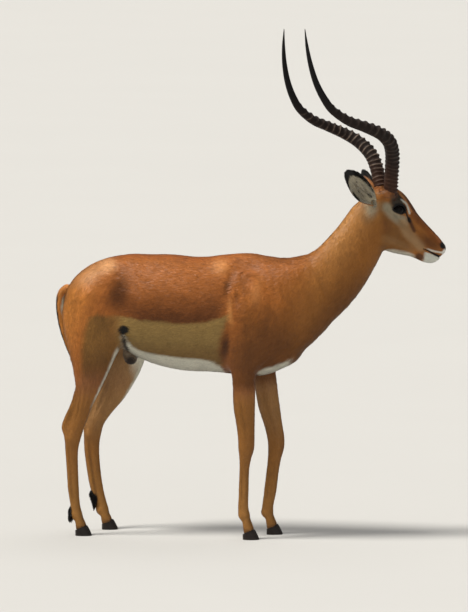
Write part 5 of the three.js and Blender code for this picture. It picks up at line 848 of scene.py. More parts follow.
THICK = {   # mm out at the front and at the back of each cannon, by height
    "fore_r": ([(70, 0), (100, 1.0), (157, 3.0), (220, 1.0), (260, 0)], [(70, 0), (110, 2.0), (157, 2.5), (220, 0.8), (260, 0)]),
    "fore_l": ([(60, 0), (90, 3.0), (139, 7.0), (202, 4.5), (260, 1.0), (300, 0)], [(80, 0), (110, 2.5), (139, 4.0), (202, 3.5), (260, 0.5), (290, 0)]),
    "hind_r": ([(80, 0), (142, 1.5), (205, 0.8), (260, 0)], [(95, 0), (125, 3.0), (150, 5.0), (205, 3.5), (277, 0.5), (300, 0)]),
    "hind_l": ([(80, 0), (300, 0)], [(75, 0), (100, 4.0), (123, 7.0), (150, 8.0), (186, 7.0), (258, 4.5), (310, 1.5), (350, 0)]),
}
def leg_thick(P):
    x, y, z = P[:, 0], P[:, 1], P[:, 2]; out = np.zeros(len(P))
    for nm, front, sg in (("fore_r", 1, -1), ("fore_l", 1, 1), ("hind_r", 0, -1), ("hind_l", 0, 1)):
        m = (z < 380) & (z > 55) & (y * sg > 0) & ((x > -250) == bool(front))
        if not m.any(): continue
        R = np.array(CHAINS[nm][2]); R = R[np.argsort(R[:, 2])]; q = z[m]
        s = (x[m] - np.interp(q, R[:, 2], R[:, 0])) / np.interp(q, R[:, 2], R[:, 3])
        out[m] = line(q, THICK[nm][0]) * ss(s, 0.0, 0.6) + line(q, THICK[nm][1]) * ss(-s, 0.0, 0.6)
    return out
def relief(P):
    N = to_neck(P); H = to_head(P); wh = ss(N[:, 0], 388, 424)
    M = N.copy(); M[:, 1] = -np.abs(M[:, 1]); u, v = plan(from_neck(M))
    out = hump(u, v, RELIEF) * ss(P[:, 2], 470, 540) * (1 - wh) + leg_relief(P) - leg_thick(P)
    m = wh > 0
    if m.any():
        Mh = H[m].copy(); Mh[:, 1] = -np.abs(Mh[:, 1]); uh, vh = plan(from_head(Mh))
        out[m] += hump(uh, vh, FACE_RELIEF) * wh[m] * ss(np.abs(H[m, 1]), 8, 18)
    return out
def fine(P):
    """raised locks and folds of the coat, in mm"""
    N = to_neck(P); x = N[:, 0]; z = P[:, 2]
    hd = ss(x, 385, 430); lo = 1 - ss(z, 300, 470)
    out = (0.34 * value_noise(P * np.array([0.8, 1, 1.1]), 10, 21, 2) + 0.24 * value_noise(P, 5.0, 22, 1)) * (1 - 0.6 * np.maximum(hd, lo))
    neck = ss(x, 20, 120) * (1 - ss(x, 330, 395)) * ss(z, 560, 700)
    fold = value_noise(np.stack([x + 0.25 * N[:, 2], N[:, 1] * 0.30, N[:, 2] * 0.22], 1), 12, 23, 2)
    return out + 2.3 * fold * neck * (0.45 + 0.55 * ss(value_noise(P, 90, 24, 1), -0.4, 0.5))
# ------------------------------------------------------------------ making meshes
def new_mesh(name, V, F, mats, smooth=True, raw=True):
    me = bpy.data.meshes.new(name)
    V = world(V) if raw else np.asarray(V, float)
    me.vertices.add(len(V)); me.vertices.foreach_set("co", V.astype(np.float32).ravel())
    F = np.asarray(F); k = F.shape[1]
    me.loops.add(F.size); me.loops.foreach_set("vertex_index", F.astype(np.int32).ravel())
    me.polygons.add(len(F)); me.polygons.foreach_set("loop_start", (np.arange(len(F)) * k).astype(np.int32))
    me.update(calc_edges=True)
    me.polygons.foreach_set("use_smooth", np.full(len(F), smooth))
    ob = bpy.data.objects.new(name, me); bpy.context.collection.objects.link(ob)
    for m in mats: me.materials.append(m)
    return ob
def set_color(ob, name, C):
    a = ob.data.color_attributes.new(name=name, type="FLOAT_COLOR", domain="POINT")
    a.data.foreach_set("color", np.concatenate([C, np.ones((len(C), 1))], 1).astype(np.float32).ravel())
def set_normals(ob, N):
    ob.data.normals_split_custom_set_from_vertices(N.astype(np.float32))

class Nodes:
    def __init__(self, name):
        self.m = bpy.data.materials.new(name); self.m.use_nodes = True
        self.t = self.m.node_tree; self.b = self.t.nodes["Principled BSDF"]
    def add(self, kind, **kw):
        n = self.t.nodes.new(kind)
        for k, v in kw.items():
            if k in ("inp",):
                for a, b in v.items(): n.inputs[a].default_value = b
            else: setattr(n, k, v)
        return n
    def link(self, a, b): self.t.links.new(a, b)
def hair_material(name, rough, bump, scale, sheen=0.02, spec=0.24):
    M = Nodes(name); b = M.b
    at = M.add("ShaderNodeAttribute", attribute_name="coat")
    tc = M.add("ShaderNodeTexCoord")
    n1 = M.add("ShaderNodeTexNoise", inp={"Scale": scale, "Detail": 4.0, "Roughness": 0.6})
    n2 = M.add("ShaderNodeTexNoise", inp={"Scale": scale * 0.12, "Detail": 3.0, "Roughness": 0.55})
    M.link(tc.outputs["Object"], n1.inputs["Vector"]); M.link(tc.outputs["Object"], n2.inputs["Vector"])
    r1 = M.add("ShaderNodeMapRange", inp={"From Min": 0.25, "From Max": 0.75, "To Min": 0.80, "To Max": 1.14})
    M.link(n1.outputs["Fac"], r1.inputs["Value"])
    r2 = M.add("ShaderNodeMapRange", inp={"From Min": 0.3, "From Max": 0.7, "To Min": 0.94, "To Max": 1.06})
    M.link(n2.outputs["Fac"], r2.inputs["Value"])
    mu = M.add("ShaderNodeMath", operation="MULTIPLY"); M.link(r1.outputs[0], mu.inputs[0]); M.link(r2.outputs[0], mu.inputs[1])
    vm = M.add("ShaderNodeVectorMath", operation="SCALE"); M.link(at.outputs["Color"], vm.inputs[0]); M.link(mu.outputs[0], vm.inputs["Scale"])
    M.link(vm.outputs[0], b.inputs["Base Color"])
    rr = M.add("ShaderNodeMapRange", inp={"From Min": 0.3, "From Max": 0.7, "To Min": rough - 0.06, "To Max": rough + 0.08})
    M.link(n1.outputs["Fac"], rr.inputs["Value"]); M.link(rr.outputs[0], b.inputs["Roughness"])
    b.inputs["Specular IOR Level"].default_value = spec
    b.inputs["Sheen Weight"].default_value = sheen
    b.inputs["Sheen Roughness"].default_value = 0.4
    b.inputs["Sheen Tint"].default_value = (1.0, 0.86, 0.74, 1)
    if bump:
        bp = M.add("ShaderNodeBump", inp={"Strength": bump, "Distance": 0.0009})
        M.link(n1.outputs["Fac"], bp.inputs["Height"]); M.link(bp.outputs[0], b.inputs["Normal"])
    return M.m

# ===BUILD===
V, Q = build_skin(); V, Q = biggest(V, Q)
V = relax(V, Q, 2, (0.5, -0.53)); N, _ = quad_normals(V, Q); V = project(V, N)
V = relax(V, Q, 1, (0.35, -0.37)); N, AREA = quad_normals(V, Q)
note("skin", len(V), len(Q), "quads, %.3f m2" % (AREA.sum() / 1e6))
# ===SKIN===
LIE = lie(V, N)
V = V - N * relief(V)[:, None]; N, AREA = quad_normals(V, Q)
LIE = unit(LIE - N * (LIE * N).sum(1, keepdims=True))
note("lie")
mat_skin = hair_material("coat_skin", 0.58, 0.5, 420.0)
mat_coat = hair_material("coat_hair", 0.42, 0.0, 300.0)
SKIN = new_mesh("skin", V, Q, [mat_skin])
SKIN_C = coat_color(V, N)
set_color(SKIN, "coat", SKIN_C * 0.96)
note("skin colours")
bpy.ops.object.select_all(action="DESELECT"); SKIN.select_set(True); bpy.context.view_layer.objects.active = SKIN
SKIN.data.uv_layers.new(name="OFBake")
bpy.ops.object.mode_set(mode="EDIT"); bpy.ops.mesh.select_all(action="SELECT")
bpy.ops.uv.smart_project(angle_limit=1.15, island_margin=0.002, scale_to_bounds=True)
bpy.ops.object.mode_set(mode="OBJECT")
uv = np.empty(len(SKIN.data.loops) * 2, np.float32); SKIN.data.uv_layers["OFBake"].uv.foreach_get("vector", uv)
QUV = uv.reshape(-1, 4, 2).mean(1)                       # place of each facet on the unwrap
note("unwrapped")

# ------------------------------------------------------------------ tufts
def scatter(weight, n):
    """n places on the skin; weight per vertex, per mm2"""
    w = AREA * weight[Q].mean(1); c = np.cumsum(w)
    f = np.searchsorted(c, RNG.random(n) * c[-1]); f = np.minimum(f, len(Q) - 1)
    s, t = RNG.random(n), RNG.random(n)
    B = np.stack([(1 - s) * (1 - t), s * (1 - t), s * t, (1 - s) * t], 1)[..., None]
    q = Q[f]
    return (V[q] * B).sum(1), unit((N[q] * B).sum(1)), unit((LIE[q] * B).sum(1)), f
def field_at(P):
    return field(P) + relief(P)
def flat_tufts(name, P, Nn, L, F, length, width, lift, tip_bright, spread=0.16, colour=None, normal_mix=0.30):
    """small closed blades, each a root triangle and a tip"""
    n = len(P)
    W = np.cross(Nn, L)
    a = RNG.normal(0, spread, n)[:, None]
    L = unit(L * np.cos(a) + W * np.sin(a)); W = np.cross(Nn, L)
    ln = (length * RNG.uniform(0.72, 1.25, n))[:, None]; wd = (width * RNG.uniform(0.75, 1.25, n))[:, None]
    h0 = fine(P); gl = (fine(P + L * 0.8) - h0) / 0.8; gw = (fine(P + W * 0.8) - h0) / 0.8
    tip = P + L * ln + Nn * 0.5
    d = field_at(tip)                                    # 0 on the skin
    up = np.maximum(lift * RNG.uniform(0.5, 1.35, n) + 0.6 * h0, 0.25)
    tip = tip + Nn * (up - d)[:, None]
    root = P - Nn * 0.25
    A, B = root + W * wd / 2, root - W * wd / 2
    C = P - Nn * 0.9 - L * 0.6
    VV = np.stack([A, B, C, tip], 1).reshape(-1, 3)
    k = np.arange(n)[:, None] * 4
    FF = np.concatenate([k + [0, 1, 3], k + [0, 3, 2], k + [2, 3, 1], k + [0, 2, 1]], 1).reshape(-1, 3)
    # colour
    col = coat_color(P, Nn) if colour is None else np.broadcast_to(colour, (n, 3)).copy()
    # each tuft's tone varies at random; tufts on raised locks are painted lighter and those in the dips darker, as
    # painted light and shade of the locks
    v = (RNG.normal(1, 0.10, n) * (1 + 0.10 * np.clip(h0, -1.2, 1.2)))[:, None]
    root_c, tip_c = col * v * 0.90, np.clip(col * v * tip_bright, 0, 0.93)
    CC = np.stack([root_c, root_c, root_c, tip_c], 1).reshape(-1, 3)
    ob = new_mesh(name, VV, FF, [mat_coat])
    set_color(ob, "coat", CC)
    # normals close to the skin's, so that the coat shades as one sleek surface
    fn = unit(np.cross(tip - A, B - A)); fn = fn * np.sign((fn * Nn).sum(1, keepdims=True))
    jit = RNG.normal(0, 0.10, (n, 3)) - (L * gl[:, None] + W * gw[:, None]) * 1.25
    nn = unit(Nn * (1 - normal_mix) + fn * normal_mix + jit)
    side = 0.22
    NN = np.stack([unit(nn + W * side), unit(nn - W * side), nn, nn], 1).reshape(-1, 3)
    set_normals(ob, NN)
    # each tuft is a small patch at its root's place
    u0 = QUV[F][:, None, :]
    o = np.array([[-1, -1], [1, -1], [0, -0.6], [0, 1]]) * 0.0015
    per = (u0 + o[None]).reshape(-1, 2)
    lay_ = ob.data.uv_layers.new(name="OFBake"); lay_.uv.foreach_set("vector", per[FF.ravel()].astype(np.float32).ravel())
    return ob
Vn = to_neck(V); Vx, Vz = V[:, 0], V[:, 2]
HEADISH = ss(Vn[:, 0], 385, 430)
VH = to_head(V)
EYE_GAP = np.minimum(*[np.sqrt(((VH[:, 0] - EYE_C[0]) / 24) ** 2 + ((VH[:, 1] - s * 46) / 20) ** 2 + ((VH[:, 2] - EYE_C[2]) / 16) ** 2) for s in (-1, 1)])
BARE = np.clip((1 - ss(EYE_GAP, 0.95, 1.15)) + ss(VH[:, 0], 622, 630) * HEADISH * ss(VH[:, 2], 893, 899), 0, 1) * HEADISH
BARE = np.maximum(BARE, (1 - ss(polyline_d(VH[:, 0], VH[:, 2], MOUTH_P), 1.5, 3.0)) * HEADISH * (VH[:, 0] > 550))
LOW = 1 - ss(Vz, 300, 470)
FEETZ = 1 - ss(Vz, 60, 130)
dens = 1.0 + 2.3 * HEADISH + 1.3 * LOW * (1 - HEADISH) + 0.6 * FEETZ
dens = dens * (1 - BARE)
def coat(name, n, weight):
    P, Nn, L, F = scatter(weight, n)
    xn = to_neck(P)[:, 0]; H = to_head(P); hd = ss(xn, 385, 430); lo = 1 - ss(P[:, 2], 300, 470)
    muzzle = hd * ss(H[:, 0], 500, 600)
    ln = 12.5 - 5.0 * lo - 6.2 * hd * (1 - lo) - 2.0 * muzzle - 1.0 * (P[:, 2] < 110)
    wd = 1.75 - 0.55 * lo - 0.75 * hd - 0.15 * muzzle
    up = 1.45 - 0.55 * lo - 0.65 * hd - 0.15 * muzzle
    # longer on the nape, the brisket, the edge of the belly, behind the thighs and along the back
    x, z, nz, nx = P[:, 0], P[:, 2], Nn[:, 2], Nn[:, 0]
    more = ss(nz, 0.55, 0.95) * (1 - hd) * ss(xn, -100, 60) * 0.5
    more = np.maximum(more, ss(-nz, 0.3, 0.8) * ss(z, 440, 500) * (1 - hd) * 0.55)
    more = np.maximum(more, ss(-nx, 0.3, 0.8) * ss(z, 380, 440) * (1 - ss(x, -520, -480)) * 0.75)
    more = np.maximum(more, bell(H[:, 0], 395, 24) * hd * (H[:, 2] > 1070) * 0.9)
    ln = ln * (1 + 0.55 * more); up = up * (1 + 0.9 * more)
    clump = value_noise(P, 30, 11, 2)
    up = up * (1 + 0.30 * clump)
    t = flat_tufts(name, P, Nn, L, F, ln, wd, up, 1.10)
    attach(t, "root"); note(name, n)
ZONES = {
    "coat_trunk": (1 - HEADISH) * ss(Vz, 380, 420) * (1 - ss(Vn[:, 0], 100, 130)),
    "coat_neck": (1 - HEADISH) * ss(Vn[:, 0], 100, 130),
    "coat_head": HEADISH,
    "coat_legs": (1 - HEADISH) * (1 - ss(Vz, 380, 420)),
}
FULL = 1.0
for nm, zone in ZONES.items():
    w = dens * zone
    expect = (AREA * w[Q].mean(1)).sum()                 # weighted mm2
    total = int(expect / PITCH * FULL)
    parts = max(1, math.ceil(total * 4 / 195000))
    for i in range(parts): coat("%s_%d" % (nm, i + 1), total // parts, w)

# locks: closed, three-sided, bent and tapered
def locks(name, P, D0, D1, length, width, colour, tipc, F=None, mat=None, segs=3, flat=0.55, nrm=None):
    """P roots, D0 direction at the root, D1 direction at the tip"""
    n = len(P); rows = []; up = nrm if nrm is not None else unit(np.cross(D0, np.array([0.13, 0.3, 0.94])))
    S = unit(np.cross(D0, up)); U = unit(np.cross(S, D0)); c = P.copy()
    ln = (length * RNG.uniform(0.75, 1.2, n)) if np.ndim(length) else length * RNG.uniform(0.75, 1.2, n)
    ring = []
    for i in range(segs):
        t = i / segs; r = width * 0.5 * (1 - 0.75 * t ** 1.6)
        for a in (90, 210, 330):
            ca, sa = math.cos(math.radians(a)), math.sin(math.radians(a))
            ring.append(c + (S * ca + U * sa * flat) * r)
        D = unit(D0 * (1 - (t + 0.5 / segs)) + D1 * (t + 0.5 / segs)); c = c + D * (ln / segs)[:, None]
    ring.append(c)
    VV = np.stack(ring, 1).reshape(-1, 3); m = segs * 3 + 1
    F0 = [[0, 2, 1]]
    for i in range(segs - 1):
        for j in range(3):
            a, b = i * 3 + j, i * 3 + (j + 1) % 3
            F0 += [[a, b, b + 3], [a, b + 3, a + 3]]
    for j in range(3): F0.append([(segs - 1) * 3 + j, (segs - 1) * 3 + (j + 1) % 3, segs * 3])
    FF = (np.arange(n)[:, None, None] * m + np.array(F0)[None]).reshape(-1, 3)
    ob = new_mesh(name, VV, FF, [mat or mat_coat])
    v = RNG.normal(1, 0.10, n)[:, None]
    colour = np.broadcast_to(colour, (n, 3)); tipc = np.broadcast_to(tipc, (n, 3))
    CC = np.stack([(colour + (tipc - colour) * min(1, (i // 3) / segs)) * v for i in range(m)], 1).reshape(-1, 3)
    set_color(ob, "coat", np.clip(CC, 0.002, 0.93))
    if F is not None:
        u0 = QUV[F][:, None, :]; o = np.zeros((m, 2))
        for i in range(m): o[i] = ((i % 3) - 1, (i // 3) / segs * 2 - 1)
        per = (u0 + (o * 0.0015)[None]).reshape(-1, 2)
        lay_ = ob.data.uv_layers.new(name="OFBake"); lay_.uv.foreach_set("vector", per[FF.ravel()].astype(np.float32).ravel())
    else:
        a = np.arange(n); g = int(math.ceil(math.sqrt(n))); cell = 1.0 / g
        o = np.array([((i % 3) * 0.4 + 0.1, (i // 3) / segs * 0.8 + 0.1) for i in range(m)]) * min(cell, 0.02)
        per = (np.stack([(a % g) * cell, (a // g) * cell], 1)[:, None, :] + o[None]).reshape(-1, 2)
        lay_ = ob.data.uv_layers.new(name="OFBake"); lay_.uv.foreach_set("vector", per[FF.ravel()].astype(np.float32).ravel())
    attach(ob, "root")
    return ob
def only(mask, n):
    return scatter(mask.astype(float) + 1e-12, n)
# tail: dark hairs over white ones
tailm = (CH["tail"].dist(V) < 4) & (Vx < -545) & (Vz > 548) & (Vz < 790)
P, Nn, L, F = only(tailm, 2600)
low = 1 - ss(P[:, 2], 560, 760)
dark = Nn[:, 0] + RNG.normal(0, 0.10, len(P)) < -0.55
colr = np.where(dark[:, None], BLACK[None] * 1.1, np.where((Nn[:, 0] > 0.45)[:, None], WHITE[None], RUMP[None]))
colr = np.where((P[:, 2] > 765)[:, None], RUMP[None], colr)
D0 = unit(L + Nn * (0.05 + 0.03 * low)[:, None]); D1 = unit(np.array([0.20, 0, -1.0]) - Nn * np.array([0.15, 0.6, 0]) * low[:, None] + RNG.normal(0, 0.04, (len(P), 3)))
locks("tail_hair", P - Nn * 0.8, D0, D1, 13 + 12 * low, 2.2, colr * 0.9, colr, F)
# black tufts over the glands of the hind feet
gm = np.zeros(len(V), bool)
for c, r in GLANDS: gm |= (((V - np.array(c)) / (np.array(r) * 1.02)) ** 2).sum(1) < 1
P, Nn, L, F = only(gm, 1900)
D1 = unit(np.array([-0.25, 0, -1.0]) + RNG.normal(0, 0.08, (len(P), 3)))
locks("gland_hair", P - Nn * 0.5, unit(Nn * 0.85 + np.array([0, 0, -0.8])), D1, 17.0, 2.0, BLACK, BLACK * 1.3, F)
# fringe over the claws
cm = (Vz < 44) & (Vz > 19)
P, Nn, L, F = only(cm, 3600)
cc = coat_color(P, Nn)
locks("coronet_hair", P - Nn * 0.5, unit(L + Nn * 0.16), unit(L + np.array([0, 0, -0.5]) + Nn * 0.1), 7.5, 1.2, cc, cc * 1.15, F, segs=2)
# pale hair round the roots of the ears
Er = np.minimum(*[np.sqrt(((VH[:, 0] - 370) / 19) ** 2 + ((VH[:, 1] - s * 33) / 19) ** 2 + ((VH[:, 2] - 1062) / 24) ** 2) for s in (-1, 1)])
P, Nn, L, F = only((Er < 1.05) & (HEADISH > 0.0), 1500)
pale = np.where((RNG.random(len(P)) < 0.16)[:, None], srgb(60, 46, 36)[None], srgb(206, 196, 172)[None])
locks("ear_root_hair", P - Nn * 0.5, unit(L * 0.6 + Nn * 0.45), unit(L + Nn * 0.10 + np.array([0, 0, -0.25])), 11.0, 1.3, pale * 0.85, pale, F, segs=2)
# dark coarse strands behind the horns and on the crown
Cr = np.sqrt(((VH[:, 0] - 398) / 30) ** 2 + (VH[:, 1] / 34) ** 2 + ((VH[:, 2] - 1090) / 26) ** 2)
P, Nn, L, F = only((Cr < 1.1), 2200)
strand = np.where((RNG.random(len(P)) < 0.42)[:, None], srgb(84, 48, 24)[None], srgb(190, 120, 58)[None])
locks("crown_hair", P - Nn * 0.5, unit(L + Nn * 0.20), unit(L + Nn * 0.03), 12.0, 1.3, strand * 0.9, strand, F, segs=2)
note("locks")

# ------------------------------------------------------------------ horns
def horn(side):
    row = smooth_rows(HORN_ROWS, 24); row[:, 1] *= side
    seg = np.linalg.norm(np.diff(row[:, :3], axis=0), axis=1); s = np.concatenate([[0], np.cumsum(seg)]); total = s[-1]
    n, m = 430, 44
    # closer together over the ringed part
    st = np.concatenate([np.linspace(0, total * 0.70, 350), np.linspace(total * 0.70, total, n - 349)[1:]])
    C = np.stack([np.interp(st, s, row[:, c]) for c in range(4)], 1)
    D = unit(np.gradient(C[:, :3], axis=0))
    up = np.array([0.0, 1.0, 0.0]); VV = []; tone = []
    front = np.array([0.86, 0.0, 0.5])
    # ring spacing grows from the base, then the rings fade
    pitch = lambda q: 12.5 + 15.0 * np.clip((q / total - 0.10) / 0.5, 0, 1)
    ph = np.cumsum(np.concatenate([[0], np.diff(st) / pitch(st[1:])]))
    for i in range(len(st)):
        d = D[i]; up = up - d * (up @ d); up /= np.linalg.norm(up); w = np.cross(d, up)
        a = 2 * math.pi * np.arange(m) / m
        dirs = np.cos(a)[:, None] * up + np.sin(a)[:, None] * w
        q = st[i]
        fade = float(ss(np.array(q), 8, 30) * (1 - ss(np.array(q), total * 0.56, total * 0.70)))
        f = unit(front - d * (front @ d)); face = dirs @ f      # 1 at the front of the horn
        wob = 0.10 * np.sin(a * 2 + 0.9 * ph[i]) + 0.12 * face
        t = (ph[i] + wob) % 1.0
        crest = np.exp(-((t - 0.62) / 0.17) ** 2)
        saw = np.where(t < 0.62, t / 0.62, (1 - t) / 0.38)
        prof = 0.55 * saw + 0.75 * crest - 0.5
        mid = float(ss(np.array(q / total), 0.12, 0.30))
        amp = fade * (0.115 + (0.07 + 0.06 * mid) * np.clip(face, -1, 1)) * (0.9 + 0.1 * math.sin(7.1 * round(ph[i])))
        groove = 0.010 * np.sin(a * 17 + 0.6 * np.sin(ph[i])) * (0.4 + 0.6 * fade)
        r = np.maximum(C[i, 3], 1.0) * (1 + amp * prof + groove) * (1 + (0.13 if side < 0 else 0.04) * math.exp(-((q / total - 0.40) / 0.20) ** 2))
        if i == len(st) - 1: r = r * 0.25
        VV.append(C[i, :3] + dirs * r[:, None])
        tone.append(np.stack([fade * prof, np.full(m, q / total), face, np.full(m, ph[i]), a], 1))
    VV = np.concatenate(VV); tone = np.concatenate(tone)
    VV = np.concatenate([VV, C[:1, :3] - D[:1] * 1.0, C[-1:, :3] + D[-1:] * 1.5]); tone = np.concatenate([tone, tone[:1], tone[-1:]])
    k = np.arange(m); F = []
    for i in range(len(st) - 1):
        a, b = i * m + k, i * m + (k + 1) % m
        F.append(np.stack([a, b, b + m, a + m], 1))
    F = np.concatenate(F); base, tipi = len(VV) - 2, len(VV) - 1
    cap = [[(j + 1) % m, j, base, base] for j in range(m)] + [[(len(st) - 1) * m + j, (len(st) - 1) * m + (j + 1) % m, tipi, tipi] for j in range(m)]
    Vw = from_head(VV)
    me = bpy.data.meshes.new("horn"); faces = F.tolist() + [c[:3] for c in cap]
    me.from_pydata(world(Vw).tolist(), [], faces); me.update()
    # outside out
    vol = sum(0.0 for _ in ())
    me.polygons.foreach_set("use_smooth", np.ones(len(faces), bool))
    ob = bpy.data.objects.new("horn_piece_" + ("l" if side > 0 else "r"), me); bpy.context.collection.objects.link(ob)
    import bmesh
    bm = bmesh.new(); bm.from_mesh(me); bmesh.ops.recalc_face_normals(bm, faces=bm.faces); bm.to_mesh(me); bm.free()
    ridge, along = np.clip(tone[:, 0] * 0.8 + 0.4, 0, 1), tone[:, 1]
    base_c, ridge_c, tip_c = srgb(30, 21, 17), srgb(150, 132, 118), srgb(13, 11, 12)
    # pale crests of the rings: partly pale horn on the ridges, partly painted highlight, much stronger on the left horn
    # and fading towards the tip
    col = lay(np.repeat(base_c[None], len(VV), 0), ridge_c, ridge ** 3.4 * (0.80 if side > 0 else 0.18) * np.clip(0.52 + 0.26 * np.sin(2.39 * np.round(tone[:, 3])) + 0.34 * np.sin(tone[:, 4] * 2 + 1.7 * np.round(tone[:, 3])) + 0.12 * np.sin(tone[:, 4] * 9), 0.05, 1) * (1 - 0.65 * ss(along, 0.30, 0.52)))
    col = lay(col, tip_c, ss(along, 0.55, 0.72))
    col = lay(col, srgb(70, 42, 28), (1 - ss(along, 0.04, 0.22)) * 0.6)
    set_color(ob, "coat", col)
    return ob
def horn_material():
    M = Nodes("horn_keratin"); b = M.b
    at = M.add("ShaderNodeAttribute", attribute_name="coat"); tc = M.add("ShaderNodeTexCoord")
    n = M.add("ShaderNodeTexNoise", inp={"Scale": 160.0, "Detail": 5.0, "Roughness": 0.65}); M.link(tc.outputs["Object"], n.inputs["Vector"])
    n2 = M.add("ShaderNodeTexNoise", inp={"Scale": 900.0, "Detail": 2.0}); M.link(tc.outputs["Object"], n2.inputs["Vector"])
    r = M.add("ShaderNodeMapRange", inp={"From Min": 0.3, "From Max": 0.7, "To Min": 0.72, "To Max": 1.30}); M.link(n.outputs["Fac"], r.inputs["Value"])
    vm = M.add("ShaderNodeVectorMath", operation="SCALE"); M.link(at.outputs["Color"], vm.inputs[0]); M.link(r.outputs[0], vm.inputs["Scale"])
    M.link(vm.outputs[0], b.inputs["Base Color"])
    rr = M.add("ShaderNodeMapRange", inp={"From Min": 0.3, "From Max": 0.7, "To Min": 0.50, "To Max": 0.72}); M.link(n.outputs["Fac"], rr.inputs["Value"]); M.link(rr.outputs[0], b.inputs["Roughness"])
    bp = M.add("ShaderNodeBump", inp={"Strength": 0.35, "Distance": 0.0006}); M.link(n2.outputs["Fac"], bp.inputs["Height"]); M.link(bp.outputs[0], b.inputs["Normal"])
    b.inputs["Specular IOR Level"].default_value = 0.16
    return M.m
mat_horn = horn_material()
for side, tag in ((-1, "r"), (1, "l")):
    h = horn(side); h.data.materials.append(mat_horn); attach(h, "root"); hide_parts("horn_" + tag)
note("horns")

# ------------------------------------------------------------------ ears
def ear_frame(tag):
    root, tip, open_, bow, scale = EARS[tag]
    root, tip, o = np.array(root, float), np.array(tip, float), np.array(open_, float)
    ax = tip - root; ln = np.linalg.norm(ax); d = ax / ln
    o = unit(o - d * (o @ d)); w = np.cross(d, o)
    return root, d, o, w, ln, bow, scale
def ear_point(tag, t, a_deg, inset):
    """a point of the ear: t along it, a_deg round the roll, inset from the back"""
    root, d, o, w, ln, bow, scale = ear_frame(tag)
    E = np.array(EAR_ROWS, float)
    t = np.asarray(t, float)
    rho = np.interp(t, E[:, 0], E[:, 1]) * scale
    R = rho - inset; a = np.radians(a_deg)
    c0 = root + (t * ln)[..., None] * d - (np.sin(np.pi * t) * bow)[..., None] * o
    c0 = c0 - w * (np.sin(np.pi * np.clip(t * 1.25, 0, 1)) * (5.0 if tag == "r" else 0.0))[..., None]
    return c0 + o * (rho - R * np.cos(a))[..., None] + w * (R * np.sin(a))[..., None]
